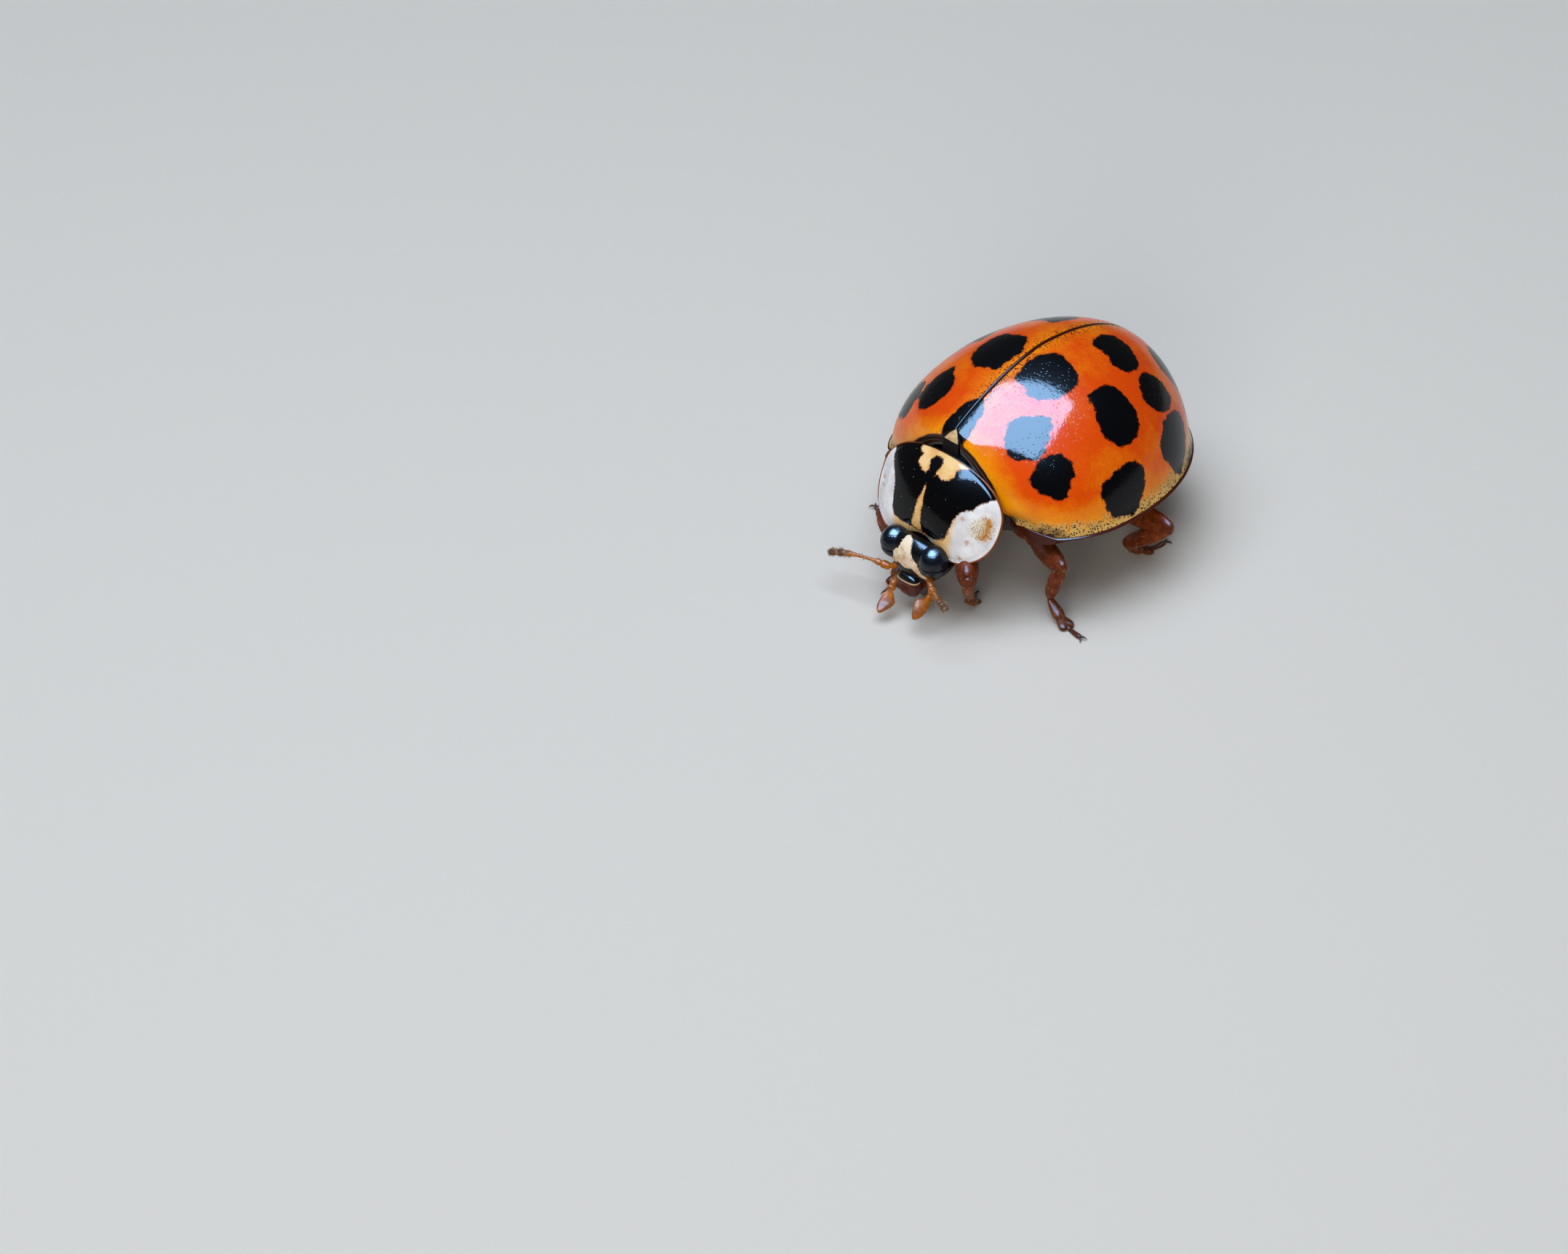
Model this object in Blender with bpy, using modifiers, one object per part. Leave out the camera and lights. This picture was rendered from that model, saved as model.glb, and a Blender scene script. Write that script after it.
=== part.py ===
"""A harlequin ladybird, Harmonia axyridis, at life size, standing with its head bent down.

Metres, +Z up, the floor at z = 0. The head points to -Y and the beetle's left side is +X.
Every solid starts as a primitive or a curved grid whose vertices follow a formula.
Dimensions below are in millimetres and are turned to metres as each mesh is made.
"""
import math

import bmesh
import bpy
from mathutils import Vector

MM = 0.001
GAP = 0.04                 # clearance between neighbouring solids

# Wing cases: the plan is two half superellipses joined at PLAN_WIDEST_Y
PLAN_HALF_WIDTH = 2.73
PLAN_WIDEST_Y = 0.22
PLAN_FRONT = 2.30
PLAN_BACK = 3.43
PLAN_FRONT_POWER = 2.3
PLAN_BACK_POWER = 2.05
# Wing cases: the height along the middle line, again two half superellipses
RIM_HEIGHT = 1.75          # above the floor, below the highest point
RIM_SLOPE = -0.047         # the rim sinks towards the tail
CROWN_HEIGHT = 2.52        # above the rim
CROWN_Y = 0.69
CROWN_FRONT = 3.81
CROWN_BACK = 2.96
CROWN_FRONT_POWER = 1.52
CROWN_BACK_POWER = 2.3
DOME_SIDE_POWER = 1.86     # the cross-section's two powers
DOME_TOP_POWER = 1.93
WING_CASE_THICKNESS = 0.50
WING_CASE_FRONT = -1.78
SUTURE_GAP = 0.03          # from the middle line to each wing case
APEX_TRIM = 0.999          # where the wing cases stop, as a share of PLAN_BACK

SCUTELLUM_HALF_WIDTH = 0.19
SCUTELLUM_LENGTH = 0.30
SCUTELLUM_THICKNESS = 0.30

# Trunk below the wing cases
TRUNK_INSET = 0.58         # from the outer face of the wing cases
FRONT_STEEPNESS = 0.45     # the inset grows where the shell slopes towards the front
STERNUM_DEPTH = 0.50       # how far the breast bulges below the rim
WAIST_Y = 0.05             # where the breast meets the belly

# Pronotum: a domed plate on a steep plane, in (across, up the slope, out of it)
PRONOTUM_FRONT = (0.0, -2.60, 1.57)
PRONOTUM_SLOPE = math.radians(65)
PRONOTUM_HALF_WIDTH = 1.54
PRONOTUM_CENTRE = 0.75
PRONOTUM_AHEAD = 1.08
PRONOTUM_BEHIND = 0.99
PRONOTUM_AHEAD_POWER = 2.6
PRONOTUM_BEHIND_POWER = 2.2
PRONOTUM_NOTCH = 0.33      # the bay for the head
PRONOTUM_BULGE = 0.27
PRONOTUM_DROOP = 0.22      # how far the side lobes hang
PRONOTUM_THICKNESS = 0.42

PROTHORAX_CENTRE = (0.0, -2.05, 1.72)
PROTHORAX_SIZE = (1.22, 0.62, 0.72)

HEAD_CENTRE = (0.0, -2.60, 1.22)
HEAD_SIZE = (0.74, 0.47, 0.62)
HEAD_POWER = 2.3
CHIN_NARROWING = 0.38
EYE_CENTRE = (0.53, -2.86, 1.36)
EYE_SIZE = (0.29, 0.30, 0.32)
LABRUM_CENTRE = (0.0, -2.98, 0.66)
LABRUM_SIZE = (0.27, 0.13, 0.24)
MANDIBLE_CENTRE = (0.13, -2.72, 0.50)
MANDIBLE_SIZE = (0.12, 0.10, 0.17)

ANTENNA_RADIUS = (0.13, 0.22)      # at the root and at the club
PALP_RADIUS = (0.12, 0.19)         # at the root and at the hatchet-shaped tip
ANTENNAE = {
    "left": ((0.67, -3.03, 0.86), (0.96, -3.32, 1.12), (1.50, -3.50, 1.04)),
    "right": ((-0.45, -3.00, 0.82), (-1.06, -3.24, 1.04), (-1.76, -3.32, 0.70)),
}
PALPS = {
    "left": ((0.34, -2.84, 0.66), (0.90, -2.90, 0.72), (0.46, -3.37, 0.50)),
    "right": ((-0.34, -2.84, 0.62), (-0.56, -2.98, 0.52), (-0.10, -3.50, 0.28)),
}

# Legs: radii, and the hip, knee, ankle and toe of each
FEMUR_RADIUS = {"front": 0.24, "middle": 0.27, "hind": 0.28}
TIBIA_RADIUS = 0.22
TARSUS_RADIUS = 0.23
TOE_HEIGHT = 0.10          # the toe's axis above the floor, less than its radius
LEGS = {
    "front_left": ((0.50, -1.95, 0.82), (1.31, -2.74, 1.21), (0.86, -2.24, 0.45), (0.50, -1.75)),
    "front_right": ((-0.50, -1.95, 0.82), (-1.46, -2.30, 1.24), (-0.95, -2.24, 0.45), (-0.74, -2.86)),
    "middle_left": ((0.85, -0.64, 0.99), (2.40, -1.31, 1.26), (1.93, -1.24, 0.42), (2.98, -1.44)),
    "middle_right": ((-0.85, -0.68, 0.98), (-2.56, -0.98, 1.36), (-2.05, -1.15, 0.42), (-2.90, -1.02)),
    "hind_left": ((0.95, 1.10, 1.01), (2.86, 1.12, 1.14), (1.80, 0.93, 0.42), (1.98, 1.92)),
    "hind_right": ((-0.95, 1.10, 1.01), (-2.78, 1.28, 1.16), (-1.92, 1.14, 0.42), (-2.16, 2.10)),
}

# Colours as linear red, green, blue
ORANGE = (0.80, 0.16, 0.01)
CREAM = (0.80, 0.68, 0.48)
BLACK = (0.008, 0.008, 0.010)
AMBER = (0.30, 0.09, 0.02)
BROWN = (0.16, 0.045, 0.015)


def collection(name):
    made = bpy.data.collections.new(name)
    bpy.context.scene.collection.children.link(made)
    return made


def material(name, colour, roughness):
    made = bpy.data.materials.new(name)
    made.use_nodes = True
    shader = made.node_tree.nodes["Principled BSDF"]
    shader.inputs["Base Color"].default_value = (*colour, 1.0)
    shader.inputs["Roughness"].default_value = roughness
    shader.inputs["Metallic"].default_value = 0.0
    return made


def finish(name, bm, colour, roughness, group):
    """Turn a bmesh in millimetres into an object in metres, with faces pointing out."""
    bmesh.ops.recalc_face_normals(bm, faces=bm.faces)
    if bm.calc_volume(signed=True) < 0:
        bmesh.ops.reverse_faces(bm, faces=bm.faces)
    bmesh.ops.scale(bm, vec=(MM, MM, MM), verts=bm.verts)
    mesh = bpy.data.meshes.new(name)
    bm.to_mesh(mesh)
    bm.free()
    mesh.shade_smooth()
    made = bpy.data.objects.new(name, mesh)
    made.data.materials.append(material(name, colour, roughness))
    group.objects.link(made)
    return made


def cutter(name, bm):
    made = finish(name, bm, BLACK, 0.5, CUTTERS)
    made.hide_render = True
    made.display_type = "WIRE"
    return made


def cut(target, *tools):
    for tool in tools:
        boolean = target.modifiers.new(f"cut_{tool.name}", "BOOLEAN")
        boolean.operation = "DIFFERENCE"
        boolean.solver = "EXACT"
        boolean.object = tool


def slice_off(bm, point, outward):
    """Remove what lies past a plane and close the cut with a flat face."""
    geometry = bm.verts[:] + bm.edges[:] + bm.faces[:]
    result = bmesh.ops.bisect_plane(bm, geom=geometry, dist=1e-6, plane_co=point,
                                    plane_no=outward, clear_outer=True)
    edges = [item for item in result["geom_cut"] if isinstance(item, bmesh.types.BMEdge)]
    bmesh.ops.contextual_create(bm, geom=edges)


def superellipse(share, power):
    """Height of a unit superellipse at a share of its half length."""
    return max(0.0, 1.0 - abs(share) ** power) ** (1.0 / power)


def plan_half_width(y):
    """Half the wing cases' width at y, out to the rim."""
    if y < PLAN_WIDEST_Y:
        return PLAN_HALF_WIDTH * superellipse((y - PLAN_WIDEST_Y) / PLAN_FRONT, PLAN_FRONT_POWER)
    return PLAN_HALF_WIDTH * superellipse((y - PLAN_WIDEST_Y) / PLAN_BACK, PLAN_BACK_POWER)


def crown(y):
    """Height of the wing cases' middle line above the rim at y."""
    if y < CROWN_Y:
        return CROWN_HEIGHT * superellipse((y - CROWN_Y) / CROWN_FRONT, CROWN_FRONT_POWER)
    return CROWN_HEIGHT * superellipse((y - CROWN_Y) / CROWN_BACK, CROWN_BACK_POWER)


def rim(y):
    return RIM_HEIGHT + RIM_SLOPE * (y - 0.35)


def dome(share, y):
    """Height of the wing cases at a share of their half width, at y."""
    side = max(0.0, 1.0 - min(1.0, abs(share)) ** DOME_SIDE_POWER)
    return rim(y) + crown(y) * side ** (1.0 / DOME_TOP_POWER)


def make_wing_case(side, sign):
    """A curved grid from the suture to the rim, thickened inwards."""
    rows, columns = 19, 13
    bm = bmesh.new()
    bmesh.ops.create_grid(bm, x_segments=columns, y_segments=rows, size=1.0)
    back = PLAN_WIDEST_Y + PLAN_BACK * APEX_TRIM
    middle = (WING_CASE_FRONT + back) / 2
    reach = (back - WING_CASE_FRONT) / 2
    for vert in bm.verts:
        across = math.sin((vert.co.x + 1) * math.pi / 4)
        y = middle + reach * math.sin(vert.co.y * math.pi / 2)
        notch = 1 - (y - WING_CASE_FRONT) / SCUTELLUM_LENGTH
        inner = SUTURE_GAP + (SCUTELLUM_HALF_WIDTH + GAP) * max(0.0, notch)
        width = plan_half_width(y)
        x = inner + (width - inner) * across
        vert.co = Vector((sign * x, y, dome(x / width, y)))
    bmesh.ops.scale(bm, vec=(MM, MM, MM), verts=bm.verts)
    mesh = bpy.data.meshes.new(f"elytron_{side}")
    bmesh.ops.recalc_face_normals(bm, faces=bm.faces)
    if sum(face.normal.z for face in bm.faces) < 0:
        bmesh.ops.reverse_faces(bm, faces=bm.faces)
    bm.to_mesh(mesh)
    bm.free()
    mesh.shade_smooth()
    made = bpy.data.objects.new(f"elytron_{side}", mesh)
    made.data.materials.append(material(f"elytron_{side}", ORANGE, 0.2))
    PARTS.objects.link(made)
    wall = made.modifiers.new("wall", "SOLIDIFY")
    wall.thickness = WING_CASE_THICKNESS * MM
    wall.offset = -1
    return made


def trunk():
    """The body below the wing cases: a sphere laid along Y, drawn out to fill the shell."""
    bm = bmesh.new()
    bmesh.ops.create_uvsphere(bm, u_segments=22, v_segments=18, radius=1.0)
    front = PLAN_WIDEST_Y - PLAN_FRONT
    back = PLAN_WIDEST_Y + PLAN_BACK - TRUNK_INSET
    stretch = PLAN_BACK / (PLAN_BACK - TRUNK_INSET)
    for vert in bm.verts:
        y = (front + back) / 2 + (back - front) / 2 * vert.co.z
        behind = max(0.0, y - PLAN_WIDEST_Y)
        shell_y = y + behind * (stretch - 1)
        ahead = max(0.0, CROWN_Y - y) / (CROWN_Y - WING_CASE_FRONT)
        inset = TRUNK_INSET * (1 + FRONT_STEEPNESS * ahead ** 2)
        side = plan_half_width(shell_y)
        width = max(0.0, side - inset * min(1.0, side / PLAN_HALF_WIDTH * 2))
        height = crown(shell_y) * (1 - TRUNK_INSET / CROWN_HEIGHT)
        if y < CROWN_Y:
            height = max(0.0, crown(shell_y) - inset)
        ring = math.hypot(vert.co.x, vert.co.y)
        turn = Vector((vert.co.x, vert.co.y)) / ring if ring > 1e-6 else Vector((0.0, 0.0))
        if turn.y > 0:
            rise = max(0.0, 1 - abs(turn.x) ** DOME_SIDE_POWER) ** (1 / DOME_TOP_POWER)
            z = rim(y) + height * rise
        else:
            z = rim(y) + STERNUM_DEPTH * superellipse((y - 0.3) / 3.2, 2.4) * turn.y
        vert.co = Vector((width * turn.x, y, z))
    bmesh.ops.remove_doubles(bm, verts=bm.verts, dist=1e-4)
    return bm


def make_trunk():
    breast = trunk()
    slice_off(breast, (0, WING_CASE_FRONT, 0), (0, -1, 0))
    slice_off(breast, (0, WAIST_Y - GAP / 2, 0), (0, 1, 0))
    finish("pterothorax", breast, BLACK, 0.4, PARTS)
    belly = trunk()
    slice_off(belly, (0, WAIST_Y + GAP / 2, 0), (0, -1, 0))
    finish("abdomen", belly, BROWN, 0.4, PARTS)


def make_scutellum():
    """A small three-sided wedge let in between the wing cases."""
    bm = bmesh.new()
    bmesh.ops.create_cone(bm, cap_ends=True, segments=3, radius1=1.0, radius2=1.0, depth=1.0)
    for vert in bm.verts:
        behind = vert.co.y > 0.9
        x = 0.0 if behind else math.copysign(SCUTELLUM_HALF_WIDTH, vert.co.x)
        y = WING_CASE_FRONT + (SCUTELLUM_LENGTH - GAP if behind else 0.0)
        vert.co = Vector((x, y, dome(0, y) - 0.02 + SCUTELLUM_THICKNESS * (vert.co.z - 0.5)))
    finish("scutellum", bm, CREAM, 0.3, PARTS)


def pronotum_plate(grow):
    """A sphere pressed to the pronotum's outline: its upper half is the outer face."""
    bm = bmesh.new()
    bmesh.ops.create_uvsphere(bm, u_segments=28, v_segments=12, radius=1.0)
    up_slope = Vector((0, math.cos(PRONOTUM_SLOPE), math.sin(PRONOTUM_SLOPE)))
    outward = Vector((0, -math.sin(PRONOTUM_SLOPE), math.cos(PRONOTUM_SLOPE)))
    for vert in bm.verts:
        radius = min(1.0, math.hypot(vert.co.x, vert.co.y))
        angle = math.atan2(vert.co.y, vert.co.x)
        ahead = math.sin(angle) < 0
        length = PRONOTUM_AHEAD if ahead else PRONOTUM_BEHIND
        power = PRONOTUM_AHEAD_POWER if ahead else PRONOTUM_BEHIND_POWER
        across_share = abs(math.cos(angle) / (PRONOTUM_HALF_WIDTH + grow)) ** power
        along_share = abs(math.sin(angle) / (length + grow)) ** power
        edge = (across_share + along_share) ** (-1.0 / power)
        across = radius * edge * math.cos(angle)
        along = PRONOTUM_CENTRE + radius * edge * math.sin(angle)
        if ahead:
            bay = max(0.0, 1 - across ** 2) ** 2
            along += PRONOTUM_NOTCH * bay * (-radius * math.sin(angle)) ** 2
        droop = PRONOTUM_DROOP * abs(across / PRONOTUM_HALF_WIDTH) ** 2.5
        height = PRONOTUM_BULGE * (1 - radius ** 2) - droop
        if vert.co.z < 0:
            height -= (PRONOTUM_THICKNESS + grow) * abs(vert.co.z) ** 0.7
        else:
            height += grow * vert.co.z
        vert.co = (Vector(PRONOTUM_FRONT) + Vector((across, 0, 0))
                   + up_slope * along + outward * height)
    return bm


def make_pronotum():
    bm = pronotum_plate(0.0)
    slice_off(bm, (0, WING_CASE_FRONT - GAP, 0), (0, 1, 0))
    finish("pronotum", bm, BLACK, 0.2, PARTS)


def ellipsoid(centre, size, grow=0.0, power=2.0, segments=20, rings=12):
    """A superellipsoid: a unit sphere whose points are pushed out to the given power."""
    bm = bmesh.new()
    bmesh.ops.create_uvsphere(bm, u_segments=segments, v_segments=rings, radius=1.0)
    for vert in bm.verts:
        norm = sum(abs(value) ** power for value in vert.co) ** (-1.0 / power)
        vert.co = Vector([centre[i] + vert.co[i] * norm * (size[i] + grow) for i in range(3)])
    return bm


def head_form(grow):
    """The head: widest at the eyes and narrower towards the mouth."""
    bm = ellipsoid(HEAD_CENTRE, HEAD_SIZE, grow, HEAD_POWER, 20, 12)
    for vert in bm.verts:
        below = max(0.0, (HEAD_CENTRE[2] - vert.co.z) / HEAD_SIZE[2])
        vert.co.x *= 1 - CHIN_NARROWING * below
    return bm


def make_head():
    plate = cutter("clearance_pronotum", pronotum_plate(GAP))
    head = finish("head", head_form(0.0), BLACK, 0.25, PARTS)
    sockets = []
    for side, sign in (("left", 1), ("right", -1)):
        centre = (sign * EYE_CENTRE[0], EYE_CENTRE[1], EYE_CENTRE[2])
        finish(f"eye_{side}", ellipsoid(centre, EYE_SIZE, 0.0, 2.0, 14, 8), BLACK, 0.15, PARTS)
        sockets.append(cutter(f"socket_{side}", ellipsoid(centre, EYE_SIZE, GAP, 2.0, 14, 8)))
    lip = ellipsoid(LABRUM_CENTRE, LABRUM_SIZE, 0.0, 2.6, 12, 8)
    finish("labrum", lip, BROWN, 0.25, PARTS)
    lip_room = cutter("clearance_labrum", ellipsoid(LABRUM_CENTRE, LABRUM_SIZE, GAP, 2.6, 12, 8))
    jaws = []
    for side, sign in (("left", 1), ("right", -1)):
        centre = (sign * MANDIBLE_CENTRE[0], MANDIBLE_CENTRE[1], MANDIBLE_CENTRE[2])
        finish(f"mandible_{side}", ellipsoid(centre, MANDIBLE_SIZE, 0.0, 2.0, 8, 6),
               BLACK, 0.25, PARTS)
        jaws.append(cutter(f"clearance_mandible_{side}",
                           ellipsoid(centre, MANDIBLE_SIZE, GAP, 2.0, 8, 6)))
    cut(head, plate, *sockets, lip_room, *jaws)

    neck = ellipsoid(PROTHORAX_CENTRE, PROTHORAX_SIZE, 0.0, 2.4, 20, 12)
    slice_off(neck, (0, WING_CASE_FRONT - GAP, 0), (0, 1, 0))
    prothorax = finish("prothorax", neck, BLACK, 0.35, PARTS)
    cut(prothorax, plate, cutter("clearance_head", head_form(GAP)))


def bend(path, share):
    """Point and direction along a straight line or a quadratic curve through its control."""
    start, end = Vector(path[0]), Vector(path[-1])
    if len(path) == 2:
        return start.lerp(end, share), (end - start).normalized()
    control = Vector(path[1])
    point = start.lerp(control, share).lerp(control.lerp(end, share), share)
    return point, (control.lerp(end, share) - start.lerp(control, share)).normalized()


def drawn_out(path, root, tip, grow=0.0, segments=10, rings=7):
    """A sphere drawn out along a path, its radius growing evenly from root to tip."""
    bm = bmesh.new()
    bmesh.ops.create_uvsphere(bm, u_segments=segments, v_segments=rings, radius=1.0)
    for vert in bm.verts:
        share = (vert.co.z + 1) / 2
        blunt = superellipse(vert.co.z, 2.8)
        radius = (root + (tip - root) * share + grow) * blunt
        ring = math.hypot(vert.co.x, vert.co.y)
        turn = vert.co.to_2d() / ring if ring > 1e-6 else Vector((0.0, 0.0))
        point, ahead = bend(path, share)
        sideways = ahead.cross(Vector((0, 0, 1))).normalized()
        upwards = sideways.cross(ahead)
        end_growth = grow * vert.co.z
        vert.co = point + sideways * turn.x * radius + upwards * turn.y * radius + ahead * end_growth
    return bm


def make_feelers():
    for side in ("left", "right"):
        feeler = drawn_out(ANTENNAE[side], *ANTENNA_RADIUS, rings=10)
        finish(f"antenna_{side}", feeler, AMBER, 0.4, PARTS)
        palp = drawn_out(PALPS[side], *PALP_RADIUS, rings=10)
        finish(f"palp_{side}", palp, AMBER, 0.35, PARTS)


def make_leg(name, hip, knee, ankle, toe):
    """Thigh, shin and foot; each is hollowed where its neighbour up the leg ends."""
    pair = name.split("_")[0]
    thick = FEMUR_RADIUS[pair]
    toe = (*toe, TOE_HEIGHT)
    finish(f"femur_{name}", drawn_out((hip, knee), thick, thick * 0.8), BROWN, 0.35, PARTS)
    knee_room = cutter(f"clearance_femur_{name}", drawn_out((hip, knee), thick, thick * 0.8, GAP))
    shin = finish(f"tibia_{name}", drawn_out((knee, ankle), TIBIA_RADIUS * 0.85, TIBIA_RADIUS),
                  BROWN, 0.4, PARTS)
    ankle_room = cutter(f"clearance_tibia_{name}",
                        drawn_out((knee, ankle), TIBIA_RADIUS * 0.85, TIBIA_RADIUS, GAP))
    cut(shin, knee_room)
    sole = drawn_out((ankle, toe), TARSUS_RADIUS * 0.8, TARSUS_RADIUS)
    slice_off(sole, (0, 0, 0), (0, 0, -1))
    foot = finish(f"tarsus_{name}", sole, BROWN, 0.45, PARTS)
    cut(foot, ankle_room)


for leftover in list(bpy.data.objects):
    bpy.data.objects.remove(leftover, do_unlink=True)

PARTS = collection("ladybird")
CUTTERS = collection("cutters")

make_trunk()
make_wing_case("left", 1)
make_wing_case("right", -1)
make_scutellum()
make_pronotum()
make_head()
make_feelers()
for leg, joints in LEGS.items():
    make_leg(leg, *joints)
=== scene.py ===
"""A harlequin ladybird, Harmonia axyridis, at life size: its finished surfaces over the solid frame.

Sizes are millimetres in the frame's own axes: the head points to -Y, the beetle's left side is +X and
the floor is z = 0. Every piece is a grid of points worked out by formula and turned to metres as its
mesh is made. A real beetle is all shell plates, so each plate stays a piece of its own.
"""
import math

import bpy
import numpy as np
from mathutils import Matrix, Vector


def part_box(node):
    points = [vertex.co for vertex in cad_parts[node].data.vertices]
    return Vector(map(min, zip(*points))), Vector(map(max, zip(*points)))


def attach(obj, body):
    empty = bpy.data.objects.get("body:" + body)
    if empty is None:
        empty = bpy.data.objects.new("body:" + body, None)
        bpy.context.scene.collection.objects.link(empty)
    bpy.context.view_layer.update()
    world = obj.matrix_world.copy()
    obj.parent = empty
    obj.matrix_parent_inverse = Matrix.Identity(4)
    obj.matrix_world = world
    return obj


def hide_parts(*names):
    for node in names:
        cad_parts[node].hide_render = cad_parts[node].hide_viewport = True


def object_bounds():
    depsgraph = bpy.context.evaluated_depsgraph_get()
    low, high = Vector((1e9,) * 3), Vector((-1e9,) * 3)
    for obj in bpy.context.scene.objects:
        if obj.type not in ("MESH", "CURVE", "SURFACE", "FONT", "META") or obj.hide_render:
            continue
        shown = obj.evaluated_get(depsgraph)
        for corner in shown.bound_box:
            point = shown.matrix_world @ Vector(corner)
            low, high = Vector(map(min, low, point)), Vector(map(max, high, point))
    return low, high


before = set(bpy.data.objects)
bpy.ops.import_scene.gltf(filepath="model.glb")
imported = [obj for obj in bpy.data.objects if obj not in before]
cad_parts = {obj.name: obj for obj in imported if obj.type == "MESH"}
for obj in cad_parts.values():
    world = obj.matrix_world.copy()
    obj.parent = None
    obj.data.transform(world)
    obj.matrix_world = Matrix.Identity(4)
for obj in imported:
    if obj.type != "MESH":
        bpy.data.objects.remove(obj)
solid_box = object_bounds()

# ---------------------------------------------------------------------------------------------
# Camera: a long lens looking down on the left shoulder. It stands off to one side of the
# beetle's middle, so the beetle sits right of and above the middle of the picture.
VIEW_ROUND = 46.71           # degrees round from the head towards the left side
VIEW_ABOVE = 35.67           # degrees above the floor
VIEW_ROLL = -2.13
CAMERA_OFFSET = (-4.442, -3.261, 160.04)     # sideways, upwards and back from the middle
LENS = 196.6
SENSOR = 36.0

turn, lift, roll = np.radians((VIEW_ROUND, VIEW_ABOVE, VIEW_ROLL))
level = np.array((math.cos(turn), math.sin(turn), 0.0))
behind = np.array((math.sin(turn) * math.cos(lift), -math.cos(turn) * math.cos(lift), math.sin(lift)))
upright = np.cross(behind, level)
right = math.cos(roll) * level + math.sin(roll) * upright
above = math.cos(roll) * upright - math.sin(roll) * level
box_low, box_high = np.array(solid_box) * 1000.0
camera_axes = np.column_stack((right, above, behind))
camera_place = (box_low + box_high) / 2 + camera_axes @ np.array(CAMERA_OFFSET)

camera = bpy.data.objects.new("camera", bpy.data.cameras.new("camera"))
camera.data.lens = LENS
camera.data.sensor_width = SENSOR
camera.data.clip_start = 0.001
camera.data.clip_end = 10.0
camera.matrix_world = Matrix.Translation(camera_place / 1000.0) @ Matrix(camera_axes.tolist()).to_4x4()
bpy.context.scene.collection.objects.link(camera)
bpy.context.scene.camera = camera

# ---------------------------------------------------------------------------------------------
# Floor: a sheet of matt white card under the beetle, cut large enough to fill the picture. Card this
# pale shows no grain at the beetle's size, so it has no texture of its own.
FLOOR_REACH = 600.0
FLOOR_DROP = 0.004           # just under the soles
MICRON = 1e-6                # in metres, the unit of a relief's depth


def linear(code):
    """The linear colour of an sRGB hex code: ((c + 0.055) / 1.055)^2.4, or c / 12.92 when dark."""
    share = np.array([int(code[i:i + 2], 16) for i in (0, 2, 4)]) / 255.0
    curve = np.where(share > 0.04045, ((share + 0.055) / 1.055) ** 2.4, share / 12.92)
    return (*curve.tolist(), 1.0)


def add(tree, kind, inputs=(), out=0, **settings):
    """Adds a node with its settings and links, and gives back one of its outputs. inputs holds plain
    values, hex colours or other nodes' outputs, in the order of the sockets or by their names."""
    made = tree.nodes.new("ShaderNode" + kind)
    for name, value in settings.items():
        setattr(made, name, value)
    for key, value in inputs.items() if isinstance(inputs, dict) else enumerate(inputs):
        if isinstance(value, bpy.types.NodeSocket):
            tree.links.new(value, made.inputs[key])
        else:
            made.inputs[key].default_value = linear(value) if isinstance(value, str) else value
    return made.outputs[out] if len(made.outputs) else made


def new_material(name, **settings):
    """An empty material: its node tree, its shader with constant settings, and Object coordinates
    in millimetres, so that every pattern's scale is one over its size in mm."""
    made = bpy.data.materials.new(name)
    made.use_nodes = True
    tree = made.node_tree
    shader = tree.nodes["Principled BSDF"]
    for key, value in settings.items():
        shader.inputs[key.replace("_", " ")].default_value = value
    place = add(tree, "TexCoord", out="Object")
    where = add(tree, "Mapping", {"Vector": place, "Scale": (1000.0, 1000.0, 1000.0)})
    return made, tree, shader, where


def dress(tree, shader, colour, relief):
    """Links a colour to the shader, and a relief to both its body and its clear coat."""
    tree.links.new(colour, shader.inputs["Base Color"])
    tree.links.new(relief, shader.inputs["Normal"])
    tree.links.new(relief, shader.inputs["Coat Normal"])


card = new_material("matt_white_card", Roughness=0.9, Specular_IOR_Level=0.0,
                    Base_Color=linear("D9D8D4"))[0]
reach = FLOOR_REACH / 1000.0
floor_mesh = bpy.data.meshes.new("floor")
floor_corners = [(-reach, -reach), (reach, -reach), (reach, reach), (-reach, reach)]
floor_mesh.from_pydata([(x, y, -FLOOR_DROP / 1000.0) for x, y in floor_corners], [], [(0, 1, 2, 3)])
floor_mesh.materials.append(card)
floor = bpy.data.objects.new("floor", floor_mesh)
bpy.context.scene.collection.objects.link(floor)

# ---------------------------------------------------------------------------------------------
# Lights: one square softbox straight overhead, seen as the pale patch on the left wing case, a
# weak one from the camera's side, and a dim even surround.
SOFTBOX_CENTRE = (-0.5, -15.8, 90.0)
SOFTBOX_SIZE = (92.0, 78.0)
SOFTBOX_TURN = 20.0          # degrees
SOFTBOX_POWER = 0.088
SHEEN_POWER = 1.02           # its bare front panel, which shows only in the gloss
SHEEN_AHEAD = 0.99           # the panel's share of its distance, since lights in one place hide each other
FILL_CENTRE = (110.0, -150.0, 70.0)
FILL_SIZE = (90.0, 90.0)
FILL_POWER = 0.14
SURROUND = 0.08
BACKDROP = 0.62              # what the camera sees past the floor
AIM_HEIGHT = 2.0             # the height on the beetle that every light faces


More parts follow.
